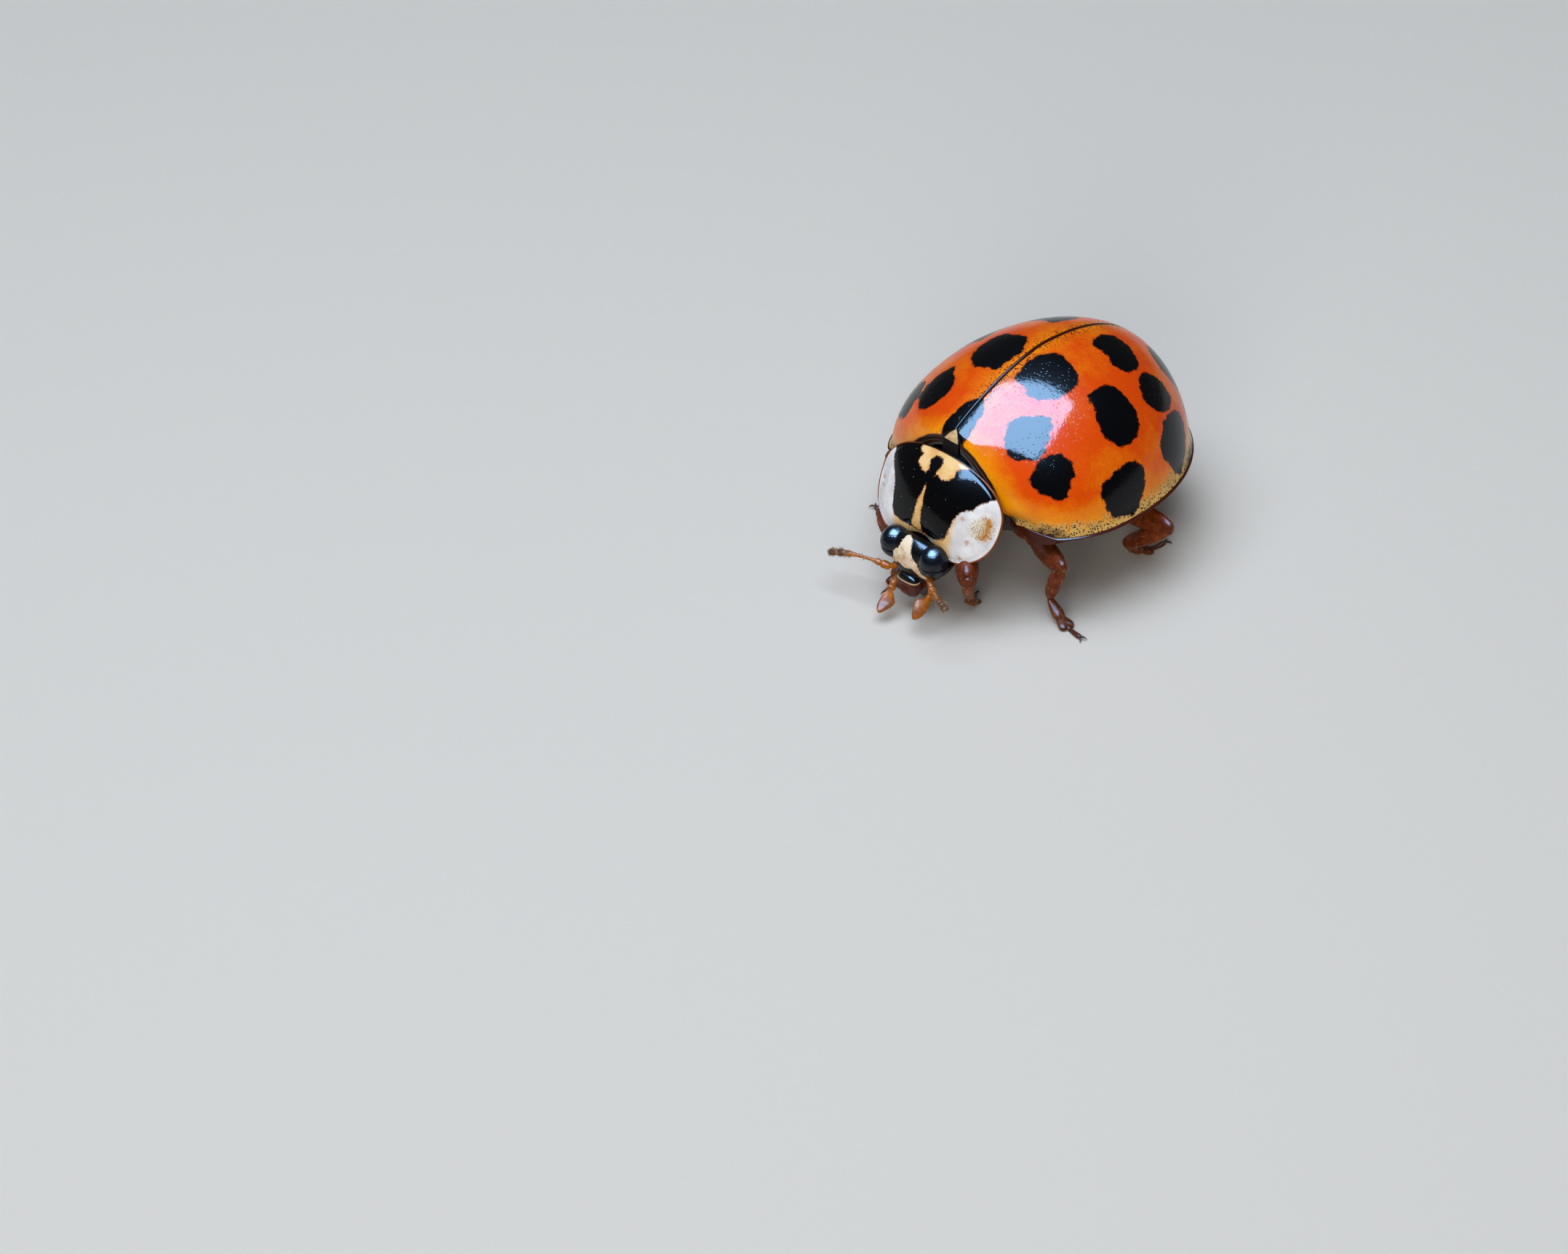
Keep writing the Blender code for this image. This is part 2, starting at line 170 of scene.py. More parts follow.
def softbox(name, centre, size, power, tint, roll=0.0):
    """An area light at centre, facing the beetle and turned about its own axis."""
    lamp = bpy.data.lights.new(name, "AREA")
    lamp.shape = "RECTANGLE"
    lamp.size, lamp.size_y = (side / 1000.0 for side in size)
    lamp.energy = power
    lamp.color = linear(tint)[:3]
    made = bpy.data.objects.new(name, lamp)
    place = Vector(np.array(centre) / 1000.0)
    aim = (Vector((0.0, 0.0, AIM_HEIGHT / 1000.0)) - place).to_track_quat("-Z", "Y")
    own_turn = Matrix.Rotation(math.radians(roll), 4, "Z")
    made.matrix_world = Matrix.Translation(place) @ aim.to_matrix().to_4x4() @ own_turn
    made.visible_camera = False
    bpy.context.scene.collection.objects.link(made)
    return made


softbox("softbox", SOFTBOX_CENTRE, SOFTBOX_SIZE, SOFTBOX_POWER, "EEF5FF", SOFTBOX_TURN)
panel_centre = tuple(SHEEN_AHEAD * place for place in SOFTBOX_CENTRE)
sheen = softbox("sheen", panel_centre, SOFTBOX_SIZE, SHEEN_POWER, "93C8FF", SOFTBOX_TURN)
sheen.visible_diffuse = False
fill = softbox("fill", FILL_CENTRE, FILL_SIZE, FILL_POWER, "FFF6EC")
fill.visible_glossy = False

world = bpy.data.worlds.new("surround")
world.use_nodes = True
sky = world.node_tree
sky.nodes.clear()
seen = add(sky, "LightPath", out="Is Camera Ray")
glow = add(sky, "MapRange", (seen, 0.0, 1.0, SURROUND, BACKDROP))
even = add(sky, "Background", ("F4F4F2", glow))
add(sky, "OutputWorld", (even,))
bpy.context.scene.world = world
bpy.context.scene.view_settings.view_transform = "Standard"

# ---------------------------------------------------------------------------------------------
# Wing cases: two domed shells of hardened chitin that meet along the suture. Each has a flared
# margin with a bead round it, an inturned rim below, and a rolled front edge. They meet the body at
# the front, under the pronotum, where the real ones are hinged, and carry the spots.
def box_mm(node):
    """A solid's lowest and highest corners in mm."""
    return np.array(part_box(node)) * 1000.0


case_low, case_high = box_mm("elytron_left")
CASE_HALF_WIDTH = case_high[0]
CASE_FRONT = case_low[1]
CASE_BACK = case_high[1]
WIDEST_Y = 0.22
PLAN_FRONT = 2.30            # from the widest place to where the front half's curve would close
PLAN_POWERS = (2.3, 2.05)    # of the plan's curve, ahead of and behind the widest place
RIM_HEIGHT = 1.75            # at RIM_Y, where the slope is taken from
RIM_Y = 0.35
RIM_SLOPE = -0.047
CROWN_Y = 0.69               # the highest place
CROWN_LENGTHS = (3.81, 2.96)     # of the middle line's curve, ahead of and behind that place
CROWN_POWERS = (1.52, 2.3)
SIDE_POWER = 1.86            # of the cross-section's curve
TOP_POWER = 1.93
DOME_REACH = 0.984           # share of a quarter turn over which its columns are spread
CASE_ROWS = 190
CASE_COLUMNS = 130
SHELL_WALL = 0.10
WALL_SHARE = 0.3             # of the width or the height, where the wall would be thicker
UNDER_RISE = 0.09            # least height of the under face above the rim
SEAM_GAP = 0.006             # from the middle line to each case
SEAM_ROUND = 0.015
FRONT_ROLL = 0.10            # radius of the rolled front edge
FRONT_LIP = 0.24             # how far that edge turns down
FRONT_TUCK = 0.03            # how far back its lower end tucks
LIP_SIDES = (0.70, 1.45)     # distances from the middle between which it flattens out
LIP_LEFT = 0.12              # share of its drop that is left at the shoulder
FLARE = 0.085                # how far the margin stands out
FLARE_HEIGHT = 0.22
BEAD = 0.013
INTURN = 0.42                # width of the inturned rim at its widest
INTURN_LENGTH = 3.0          # from the tail to where it is full width
INTURN_LEAST = 0.15          # share of that width left at the tail
FOLD_DEPTH = 0.26            # how far that rim folds down at the shoulder
FOLD_FULL = -1.50
FOLD_BACK = -0.75
FOLD_RUN = 0.30              # over which the fold opens behind the front edge
SHOULDER_BACK = -1.15
SHOULDER_CUT = 0.10          # share of the width taken off the front corner
SHOULDER_PULL = 0.30         # how far back that corner's lower end is rounded
SHOULDER_RUN = 0.50
SHOULDER_RISE = (0.10, 0.55)     # heights above the rim between which the rounding fades
INNER_SINK = 0.08            # how much lower the under face counts in that fading
BEAD_MIDDLE = 4              # the column along the outside of the bead, counted from its first
SCUTELLUM_HALF_WIDTH = 0.20
SCUTELLUM_LENGTH = 0.13
SCUTELLUM_GAP = 0.01
# How fine each pattern of the finish is, in grains to the millimetre. The pits and the holes of the
# margin are about twice as fine on the real case, and would not show.
CASE_GRAINS = {"cloud": 0.9, "mottle": 6.0, "lobes": 7.0, "skin": 14.0, "pits": 15.0, "holes": 21.0,
               "grit": 30.0}

# The left case's spots as outlines (x, y), smoothed through their points and mirrored on the right
SPOTS = {
    "scutellar": ((-0.08, -1.84), (0.22, -1.84), (0.31, -1.62), (0.27, -1.40), (0.19, -1.14),
                  (-0.08, -1.02)),
    "shoulder_inner": ((0.82, -1.04), (0.92, -0.80), (1.10, -0.64), (1.29, -0.47), (1.43, -0.57),
                       (1.55, -0.79), (1.60, -1.02), (1.41, -1.26), (1.24, -1.38), (1.07, -1.37),
                       (0.92, -1.24)),
    "shoulder_outer": ((1.66, -1.04), (1.76, -0.79), (1.92, -0.64), (2.09, -0.64), (2.18, -0.77),
                       (2.21, -1.00), (2.07, -1.18), (1.88, -1.30), (1.72, -1.36), (1.65, -1.25)),
    "seam": ((0.23, -0.32), (0.21, -0.08), (0.16, 0.20), (0.25, 0.42), (0.37, 0.58), (0.53, 0.67),
             (0.70, 0.61), (0.90, 0.61), (1.11, 0.49), (1.16, 0.26), (1.15, 0.00), (1.03, -0.20),
             (0.90, -0.33), (0.70, -0.40), (0.50, -0.36)),
    "disc": ((1.42, 0.46), (1.41, 0.73), (1.47, 1.00), (1.60, 1.12), (1.78, 1.17), (1.99, 1.17),
             (2.16, 1.02), (2.27, 0.74), (2.26, 0.45), (2.15, 0.29), (1.98, 0.25), (1.82, 0.29),
             (1.66, 0.39), (1.52, 0.40)),
    "side": ((2.54, -0.33), (2.48, -0.18), (2.47, 0.10), (2.45, 0.40), (2.48, 0.66), (2.55, 0.77),
             (2.66, 0.66), (2.72, 0.42), (2.72, 0.08), (2.68, -0.22)),
    "rear_inner": ((0.49, 1.53), (0.42, 1.84), (0.48, 2.08), (0.71, 2.16), (0.97, 2.12), (1.19, 2.02),
                   (1.30, 1.84), (1.28, 1.58), (1.11, 1.45), (0.85, 1.50), (0.62, 1.45)),
    "rear_outer": ((1.42, 1.86), (1.37, 2.10), (1.45, 2.30), (1.60, 2.38), (1.73, 2.36), (1.90, 2.14),
                   (1.97, 1.82), (1.86, 1.60), (1.65, 1.64)),
    "rear_side": ((2.28, 1.54), (2.08, 1.84), (1.90, 2.24), (1.84, 2.50), (1.98, 2.49), (2.16, 2.32),
                  (2.35, 2.00), (2.46, 1.70), (2.45, 1.47), (2.37, 1.44)),
    "tail": ((0.62, 2.86), (0.64, 3.10), (0.92, 3.18), (1.22, 3.10), (1.33, 2.90), (1.20, 2.66),
             (0.90, 2.70)),
}


def superellipse(share, power):
    """Height of a unit superellipse at a share of its half length: (1 - |share|^p)^(1/p)."""
    return np.maximum(0.0, 1.0 - np.abs(share) ** power) ** (1.0 / power)


def smooth_step(value, start, end):
    """A rise from 0 at start to 1 at end: s^2 (3 - 2 s) of the share s of the way between them."""
    share = np.clip((value - start) / (end - start), 0.0, 1.0)
    return share ** 2 * (3 - 2 * share)


def case_half_width(y):
    """Half the closed cases' width: one superellipse ahead of the widest place, another behind, and
    the front corner taken in by the square of the way from the shoulder to the front."""
    ahead = superellipse((y - WIDEST_Y) / PLAN_FRONT, PLAN_POWERS[0])
    astern = superellipse((y - WIDEST_Y) / (CASE_BACK - WIDEST_Y), PLAN_POWERS[1])
    corner = np.clip((SHOULDER_BACK - y) / (SHOULDER_BACK - CASE_FRONT), 0.0, 1.0)
    return CASE_HALF_WIDTH * np.where(y < WIDEST_Y, ahead, astern) * (1 - SHOULDER_CUT * corner ** 2)


def rim_height(y):
    """The rim's height, a straight line that sinks towards the tail."""
    return RIM_HEIGHT + RIM_SLOPE * (y - RIM_Y)


def crown_height(y):
    """The middle line above the rim: two half superellipses that meet at the highest place."""
    top = case_high[2] - rim_height(CROWN_Y)
    ahead = superellipse((y - CROWN_Y) / CROWN_LENGTHS[0], CROWN_POWERS[0])
    astern = superellipse((y - CROWN_Y) / CROWN_LENGTHS[1], CROWN_POWERS[1])
    return top * np.where(y < CROWN_Y, ahead, astern)


def dome_rise(share):
    """The cross-section's height as a share of the crown's, from its share of the half width:
    (1 - |share|^side)^(1/top), with the two powers above."""
    return np.maximum(0.0, 1.0 - np.minimum(1.0, np.abs(share)) ** SIDE_POWER) ** (1.0 / TOP_POWER)


def shoulder_share(lift):
    """How much of the shoulder's rounding applies at a height above the rim."""
    return smooth_step(lift, SHOULDER_RISE[1], SHOULDER_RISE[0])


def wing_case_grid():
    """Cross-sections from front to tail, each a closed loop: up the suture edge, out over the dome
    to the flared margin, round the bead, in along the inturned rim and back under the dome. Also
    returns which columns are the outer face, and that face's points before the margin is flared."""
    # Places along Y, and how far the front edge has rolled down at each: the first rows go round a
    # quarter circle, and the rest crowd together towards both ends
    roll = np.radians(np.linspace(90, 0, 8))
    flat_start = CASE_FRONT + FRONT_ROLL
    main = flat_start + (CASE_BACK - CASE_FRONT - FRONT_ROLL) * (
        1 - np.cos(np.linspace(0, np.pi, CASE_ROWS))) / 2
    y = np.concatenate(([CASE_FRONT + FRONT_TUCK, CASE_FRONT],
                        CASE_FRONT + FRONT_ROLL * (1 - np.sin(roll)), main[1:]))[:, None]
    drop = np.concatenate(([FRONT_LIP, 0.8 * FRONT_LIP], FRONT_ROLL * (1 - np.cos(roll)),
                           np.zeros(len(main) - 1)))[:, None]
    width = case_half_width(y)
    small = np.minimum(1.0, 2.0 * width / CASE_HALF_WIDTH)
    dome = np.maximum(0.0, width - (FLARE + BEAD) * small)
    crown = crown_height(y)
    rim = rim_height(y)
    notch = np.maximum(0.0, 1 - (y - CASE_FRONT) / SCUTELLUM_LENGTH)
    inner = np.minimum(SEAM_GAP + (SCUTELLUM_HALF_WIDTH + SCUTELLUM_GAP) * notch, width)

    # The outer face: the dome, its margin flared and its front corner drawn back
    share = np.sin(np.linspace(0, DOME_REACH * np.pi / 2, CASE_COLUMNS))[None, :]
    x = inner + SEAM_ROUND * small + (dome - inner - SEAM_ROUND * small) * share
    lift = crown * dome_rise(np.where(dome > 0, x / np.maximum(dome, 1e-6), 1.0))
    rim_drop = LIP_LEFT * drop
    drop = drop * (1 - (1 - LIP_LEFT) * smooth_step(x, *LIP_SIDES))
    flare = FLARE * small * np.maximum(0.0, 1 - lift / FLARE_HEIGHT) ** 2
    pull = SHOULDER_PULL * np.clip(1 - (y - CASE_FRONT) / SHOULDER_RUN, 0.0, 1.0)
    outer = np.stack([x + flare, y + pull * shoulder_share(lift), rim + lift - drop], axis=-1)

    # The under face, a wall's thickness inside it
    wall = np.minimum(SHELL_WALL, WALL_SHARE * width)
    wall[0] = 0.0
    under_lift = np.maximum(np.maximum(lift - wall, WALL_SHARE * lift), UNDER_RISE * small)
    inner_lift = np.maximum(0.0, under_lift - INNER_SINK)
    under = np.stack([np.maximum(inner, x - wall * share), y + pull * shoulder_share(inner_lift),
                      rim + under_lift - drop], axis=-1)
    under[0] = outer[0]

    # The rounded suture edge, the bead round the margin, and the inturned rim with its fold
    edge = np.radians(np.linspace(0, 78, 4))[None, :]
    round_in = SEAM_ROUND * small
    suture = np.stack([inner + round_in * (1 - np.cos(edge)), y + 0 * edge,
                       outer[:, :1, 2] - round_in * (1 - np.sin(edge))], axis=-1)
    centre_x = dome + FLARE * small
    centre_z = rim - rim_drop
    bend = np.radians(np.linspace(110, -80, 9))[None, :]
    bead = np.stack([centre_x + BEAD * small * np.cos(bend), y + pull + 0 * bend,
                     centre_z + BEAD * small * np.sin(bend)], axis=-1)
    inward = np.linspace(0.12, 1.0, 8)[None, :]
    taper = INTURN * (width / CASE_HALF_WIDTH) * np.clip((CASE_BACK - y) / INTURN_LENGTH, INTURN_LEAST, 1.0)
    fold = FOLD_DEPTH * smooth_step(y, FOLD_BACK, FOLD_FULL) * (1 - (1 - inward) ** 3)
    fold = fold * np.sqrt(np.clip((y - CASE_FRONT) / FOLD_RUN, 0.0, 1.0))
    shelf = np.stack([centre_x - taper * inward, y + pull + 0 * inward,
                      centre_z - BEAD * small * (1 - inward) - fold], axis=-1)

    for part, stop in ((suture, 0), (bead, -1), (shelf, -1)):
        part[0] = outer[0, stop]
    loop = np.concatenate([suture, outer, bead, shelf, under[:, ::-1]], axis=1)
    loop[-1] = (SEAM_GAP, CASE_BACK, rim[-1, 0])
    top = slice(suture.shape[1], suture.shape[1] + outer.shape[1])
    even = x / np.maximum(dome, 1e-6)
    unflared = np.stack([even * width, y + 0 * x, rim + lift], axis=-1)
    return loop, top, unflared.reshape(-1, 3)


def smooth_outline(corners, steps=9):
    """A closed curve through the corners: a Catmull-Rom spline, its cubic taken piece by piece."""
    p1 = np.array(corners, float)
    p0, p2, p3 = np.roll(p1, 1, 0), np.roll(p1, -1, 0), np.roll(p1, -2, 0)
    t = np.linspace(0, 1, steps, endpoint=False)[None, :, None]
    p0, p1, p2, p3 = (p[:, None, :] for p in (p0, p1, p2, p3))
    curve = 0.5 * (2 * p1 + (p2 - p0) * t + (2 * p0 - 5 * p1 + 4 * p2 - p3) * t ** 2
                   + (3 * p1 - p0 - 3 * p2 + p3) * t ** 3)
    return curve.reshape(-1, curve.shape[-1])


def nearest(points, line):
    """Distance from each point to a line of points joined by straight steps: the foot of the
    perpendicular on each step, held between the step's ends."""
    start, step = line[:-1], np.diff(line, axis=0)
    length = np.maximum((step ** 2).sum(-1), 1e-12)
    along = points @ step.T - (start * step).sum(-1)
    share = np.clip(along / length, 0.0, 1.0)
    square = (points ** 2).sum(-1)[:, None] + (start ** 2).sum(-1) - 2 * points @ start.T
    square = square - 2 * share * along + share ** 2 * length
    return np.sqrt(np.maximum(square.min(1), 0.0))


def inside(flat, outline):
    """Whether each point of a plane lies inside a closed outline, by counting the edges crossed."""
    start, end = outline[None], np.roll(outline, -1, 0)[None]
    x, y = flat[:, :1], flat[:, 1:2]
    spans = (start[..., 1] > y) != (end[..., 1] > y)
    run = np.where(np.abs(end[..., 1] - start[..., 1]) < 1e-12, 1e-12, end[..., 1] - start[..., 1])
    cross = start[..., 0] + (y - start[..., 1]) / run * (end[..., 0] - start[..., 0])
    return (spans & (x < cross)).sum(1) % 2 == 1


def mark_distance(points, corners, height, across=(0, 1)):
    """Signed distance from points on a surface to a mark's edge, below 0 inside it. The outline
    lies in the plane of two axes, and height gives the surface's third coordinate over it."""
    outline = smooth_outline(corners)
    distance = nearest(points, height(np.vstack([outline, outline[:1]])))
    return np.where(inside(points[:, across], outline), -distance, distance)


def on_case(outline):
    """Points of a plan outline raised onto the dome: the rim's height and the crown's times its rise."""
    x, y = outline[:, 0], outline[:, 1]
    width = np.maximum(case_half_width(y), 0.05)
    return np.stack([x, y, rim_height(y) + crown_height(y) * dome_rise(x / width)], axis=-1)


def make_mesh(name, grids, marks=None):
    """Joins grids of points (rows, columns, 3) in mm into one closed mesh in metres. Columns wrap
    round, rows that fall on one point or one line close the ends, and points that meet are welded.
    marks gives each grid's named values, one for each point."""
    points, faces, start = [], [], 0
    for grid in grids:
        rows, columns = grid.shape[:2]
        corner = np.arange(rows * columns).reshape(rows, columns)
        ahead = np.roll(corner, -1, 1)
        quads = np.stack([corner[:-1], ahead[:-1], ahead[1:], corner[1:]], -1).reshape(-1, 4)
        flat = grid.reshape(-1, 3)
        a, b, c, d = (flat[quads[:, k]] for k in range(4))
        volume = (np.cross(a, b) * c).sum() + (np.cross(a, c) * d).sum()
        faces.append((quads if volume > 0 else quads[:, ::-1]) + start)
        points.append(flat)
        start += len(flat)
    points, faces = np.concatenate(points), np.concatenate(faces)
    owner = np.repeat(np.arange(len(grids)), [grid.shape[0] * grid.shape[1] for grid in grids])
    keys = np.column_stack([np.round(points * 1e4).astype(np.int64), owner])
    _, first, place = np.unique(keys, axis=0, return_index=True, return_inverse=True)
    faces = place.reshape(-1)[faces]
    same = faces == np.roll(faces, -1, 1)
    whole = faces[~same.any(1)]
    broken = faces[same.sum(1) == 1]
    kept = ~same[same.sum(1) == 1]
    triangles = broken[kept].reshape(-1, 3)
    mesh = bpy.data.meshes.new(name)
    mesh.from_pydata((points[first] / 1000.0).tolist(), [], whole.tolist() + triangles.tolist())
    mesh.shade_smooth()
    for key, values in (marks or {}).items():
        layer = mesh.attributes.new(key, "FLOAT", "POINT")
        joined = np.concatenate([np.asarray(value).reshape(-1) for value in values])
        layer.data.foreach_set("value", joined[first].astype(np.float32))
    mesh.update()
    return mesh


def place_piece(name, mesh, material, nodes):
    """Puts a mesh in the scene as a piece of the root body that stands for the named solids."""
    mesh.materials.append(material)
    piece = bpy.data.objects.new(name, mesh)
    bpy.context.scene.collection.objects.link(piece)
    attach(piece, "root")
    if nodes:
        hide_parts(*nodes)


def build_piece(name, grids, material, nodes, marks=None):
    """Makes a mesh of grids and places it as a piece of the same name."""
    place_piece(name, make_mesh(name, grids, marks), material, nodes)


# Hardened chitin, smooth over fine pits: clear wax on top gives one sharp reflection, and the orange
# lies under it. Black melanin fills the spots, with edges as ragged as the cells it fills.
case_shell, tree, shader, where = new_material(
    "spotted_chitin_orange", Roughness=0.34, Specular_IOR_Level=0.02, Coat_Weight=0.6,
    Coat_Roughness=0.07, Coat_IOR=1.36)
spot, margin, seam, front = (add(tree, "Attribute", out="Fac", attribute_name=name)
                             for name in ("spot", "margin", "seam", "front"))
side = add(tree, "Math", (add(tree, "SeparateXYZ", (where,)),), operation="ABSOLUTE")
cloud = add(tree, "TexNoise", {"Vector": where, "Scale": CASE_GRAINS["cloud"], "Detail": 2.0})
mottle = add(tree, "TexNoise", {"Vector": where, "Scale": CASE_GRAINS["mottle"], "Detail": 5.0,
                                "Roughness": 0.65})
grit = add(tree, "TexNoise", {"Vector": where, "Scale": CASE_GRAINS["grit"], "Detail": 2.0,
                              "Roughness": 0.7})
lobes = add(tree, "TexNoise", {"Vector": where, "Scale": CASE_GRAINS["lobes"], "Detail": 2.0})
pits = add(tree, "TexVoronoi", {"Vector": where, "Scale": CASE_GRAINS["pits"]})
dimples = add(tree, "TexVoronoi", {"Vector": where, "Scale": CASE_GRAINS["holes"], "Randomness": 0.8})
# Orange pales to yellow near the seam, the margin and the front edge, and in clouds between
tints = [add(tree, "MapRange", ends) for ends in (
    (seam, 0.40, 0.05, 0.0, 0.45), (margin, 0.80, 0.16, 0.0, 1.0), (front, 0.70, 0.22, 0.0, 0.9),
    (cloud, 0.40, 0.62, -0.08, 0.26), (mottle, 0.30, 0.70, -0.13, 0.13), (grit, 0.35, 0.65, -0.10, 0.10))]
pale = tints[0]
for tint in tints[1:]:
    pale = add(tree, "Math", (pale, tint), operation="ADD")
pale = add(tree, "Math", (pale, 0.0), operation="ADD", use_clamp=True)
colour = add(tree, "MixRGB", (pale, "E04B04", "F6990A"))
dots = add(tree, "MapRange", (pits, 0.10, 0.24, 1.0, 0.0))
sparse = add(tree, "Math", (dots, add(tree, "MapRange", (mottle, 0.48, 0.62, 0.0, 0.5))),
             operation="MULTIPLY")
colour = add(tree, "MixRGB", (sparse, colour, "7E2406"))
# The margin is clear tan with dark holes and a smudge, the seam has a line of them, and the rim
# and the seam's edge are brown
holes = add(tree, "MapRange", (dimples, 0.30, 0.42, 1.0, 0.0))
tan = add(tree, "MixRGB", (holes, "D6AC62", "1A0C06"))
rim_share = add(tree, "Math", (margin, add(tree, "MapRange", (mottle, 0.3, 0.7, -0.12, 0.12))),
                operation="ADD")
colour = add(tree, "MixRGB", (add(tree, "MapRange", (rim_share, 0.36, 0.17)), colour, tan))
smudge = add(tree, "Math", (add(tree, "MapRange", (cloud, 0.46, 0.60)),
                            add(tree, "MapRange", (rim_share, 0.24, 0.06))), operation="MULTIPLY")
colour = add(tree, "MixRGB", (smudge, colour, "2E1608"))
colour = add(tree, "MixRGB", (add(tree, "MapRange", (margin, 0.050, 0.030)), colour, "45190A"))
seam_dots = add(tree, "Math", (holes, add(tree, "MapRange", (seam, 0.26, 0.08))), operation="MULTIPLY")
colour = add(tree, "MixRGB", (seam_dots, colour, "4A1D06"))
colour = add(tree, "MixRGB", (add(tree, "MapRange", (seam, 0.032, 0.014)), colour, "3E1806"))
# The spots, a thin red-brown edge round each, and the brown lip under the front edge
ragged = add(tree, "Math", (lobes, 0.16, spot), operation="MULTIPLY_ADD")
ragged = add(tree, "Math", (grit, 0.075, ragged), operation="MULTIPLY_ADD")
colour = add(tree, "MixRGB", (add(tree, "MapRange", (ragged, 0.160, 0.122)), colour, "4A1004"))
colour = add(tree, "MixRGB", (add(tree, "MapRange", (ragged, 0.134, 0.112)), colour, "050508"))
lip = add(tree, "MixRGB", (add(tree, "MapRange", (side, 0.95, 1.55)), "2A1408", "63300F"))
front_edge = add(tree, "Math", (mottle, 0.05, front), operation="MULTIPLY_ADD")
lip_share = add(tree, "Math", (add(tree, "MapRange", (front_edge, 0.215, 0.180)),
                               add(tree, "MapRange", (side, 1.30, 1.05))), operation="MULTIPLY")
colour = add(tree, "MixRGB", (lip_share, colour, lip))
skin = add(tree, "TexNoise", {"Vector": where, "Scale": CASE_GRAINS["skin"], "Detail": 3.0})
pit_depth = add(tree, "MapRange", (pits, 0.03, 0.24, -1.0, 0.0))
relief = add(tree, "Bump", {"Height": pit_depth, "Distance": 2.4 * MICRON})
relief = add(tree, "Bump", {"Height": skin, "Distance": 2.2 * MICRON, "Normal": relief})
dress(tree, shader, colour, relief)

case_grid, case_top, unflared = wing_case_grid()
case_shape = case_grid.shape[:2]
face = case_grid[:, case_top]
face_shape = face.shape[:2]
rim_line = case_grid[:, case_top.stop + BEAD_MIDDLE]
# Each point's distance to a spot's edge, the margin, the seam and the front edge, in mm. The suture
# wall repeats the spots beside it, and the under face has none.
spot_value = np.full(case_shape, 1.0)
spot_value[:, case_top] = np.min([mark_distance(unflared, outline, on_case)
                                  for outline in SPOTS.values()], axis=0).reshape(face_shape)
spot_value[:, :case_top.start] = spot_value[:, case_top.start][:, None]
margin_value = np.full(case_shape, -0.05)
margin_value[:, case_top] = nearest(face.reshape(-1, 3), rim_line[2:]).reshape(face_shape)
margin_value[:, :case_top.start] = 1.0
seam_value = np.full(case_shape, 1.0)
seam_value[:, case_top] = face[..., 0] - face[:, :1, 0]
seam_value[:, :case_top.start] = 0.0
seam_value[:, case_top.start - case_top.stop:] = 0.0
steps = np.linalg.norm(np.diff(case_grid, axis=0, prepend=case_grid[:1]), axis=-1)
front_value = np.cumsum(steps, axis=0)
case_marks = {"spot": [spot_value], "margin": [margin_value], "seam": [seam_value], "front": [front_value]}
for side, sign in (("left", 1.0), ("right", -1.0)):
    build_piece(f"wing_case_{side}", [case_grid * (sign, 1.0, 1.0)], case_shell, [f"elytron_{side}"],
                case_marks)

# ---------------------------------------------------------------------------------------------
# Scutellum: a small three-cornered shield let in between the roots of the wing cases, cream with a
# dark edge.
SHIELD_CROWN = 0.02
SHIELD_SINK = 0.03           # below the level of the cases beside it
SHIELD_FALL = 0.09           # how much more steeply than the cases its base falls away
SHIELD_MARGIN = 0.01         # past its solid ahead, and past the cases' notch behind
SHIELD_WALL = 0.12
APRON_DEPTH = 0.26           # of the dark fold that goes down from its base
APRON_AHEAD = 0.05
APRON_ROWS = 6
SHIELD_ROWS = 30
SHIELD_GRAINS = 18.0         # to the millimetre

# A triangle over the cases' own curve, from its base ahead to its point behind, with the apron's
# rows before it and a flat wall's thickness under it
across = np.sin(np.linspace(-np.pi / 2, np.pi / 2, 25))[None, :]
along = np.concatenate([np.zeros(APRON_ROWS), np.linspace(0, 1, SHIELD_ROWS) ** 1.3])[:, None]
apron = np.concatenate([np.linspace(1, 0, APRON_ROWS), np.zeros(SHIELD_ROWS)])[:, None]
shield_front = box_mm("scutellum")[0, 1] - SHIELD_MARGIN
shield_back = CASE_FRONT + SCUTELLUM_LENGTH + SHIELD_MARGIN
shield_y = shield_front + (shield_back - shield_front) * along - APRON_AHEAD * apron + 0 * across
shield_x = SCUTELLUM_HALF_WIDTH * (1 - along) * across
shield_z = on_case(np.stack([0 * shield_x, shield_y], -1).reshape(-1, 2))[:, 2].reshape(shield_x.shape)
shield_z = shield_z - SHIELD_SINK + SHIELD_CROWN * (1 - across ** 2) - APRON_DEPTH * apron ** 1.5
shield_z = shield_z - SHIELD_FALL * (1 - along) ** 2
shield_top = np.stack([shield_x, shield_y, shield_z], -1)
shield_under = shield_top[:, ::-1] - (0.0, 0.0, SHIELD_WALL)
shield = np.concatenate([shield_top, shield_under], axis=1)
shield_edge = np.concatenate([np.maximum(np.abs(across), 6.0 * apron), 1.0 + 0 * shield_x], axis=1)

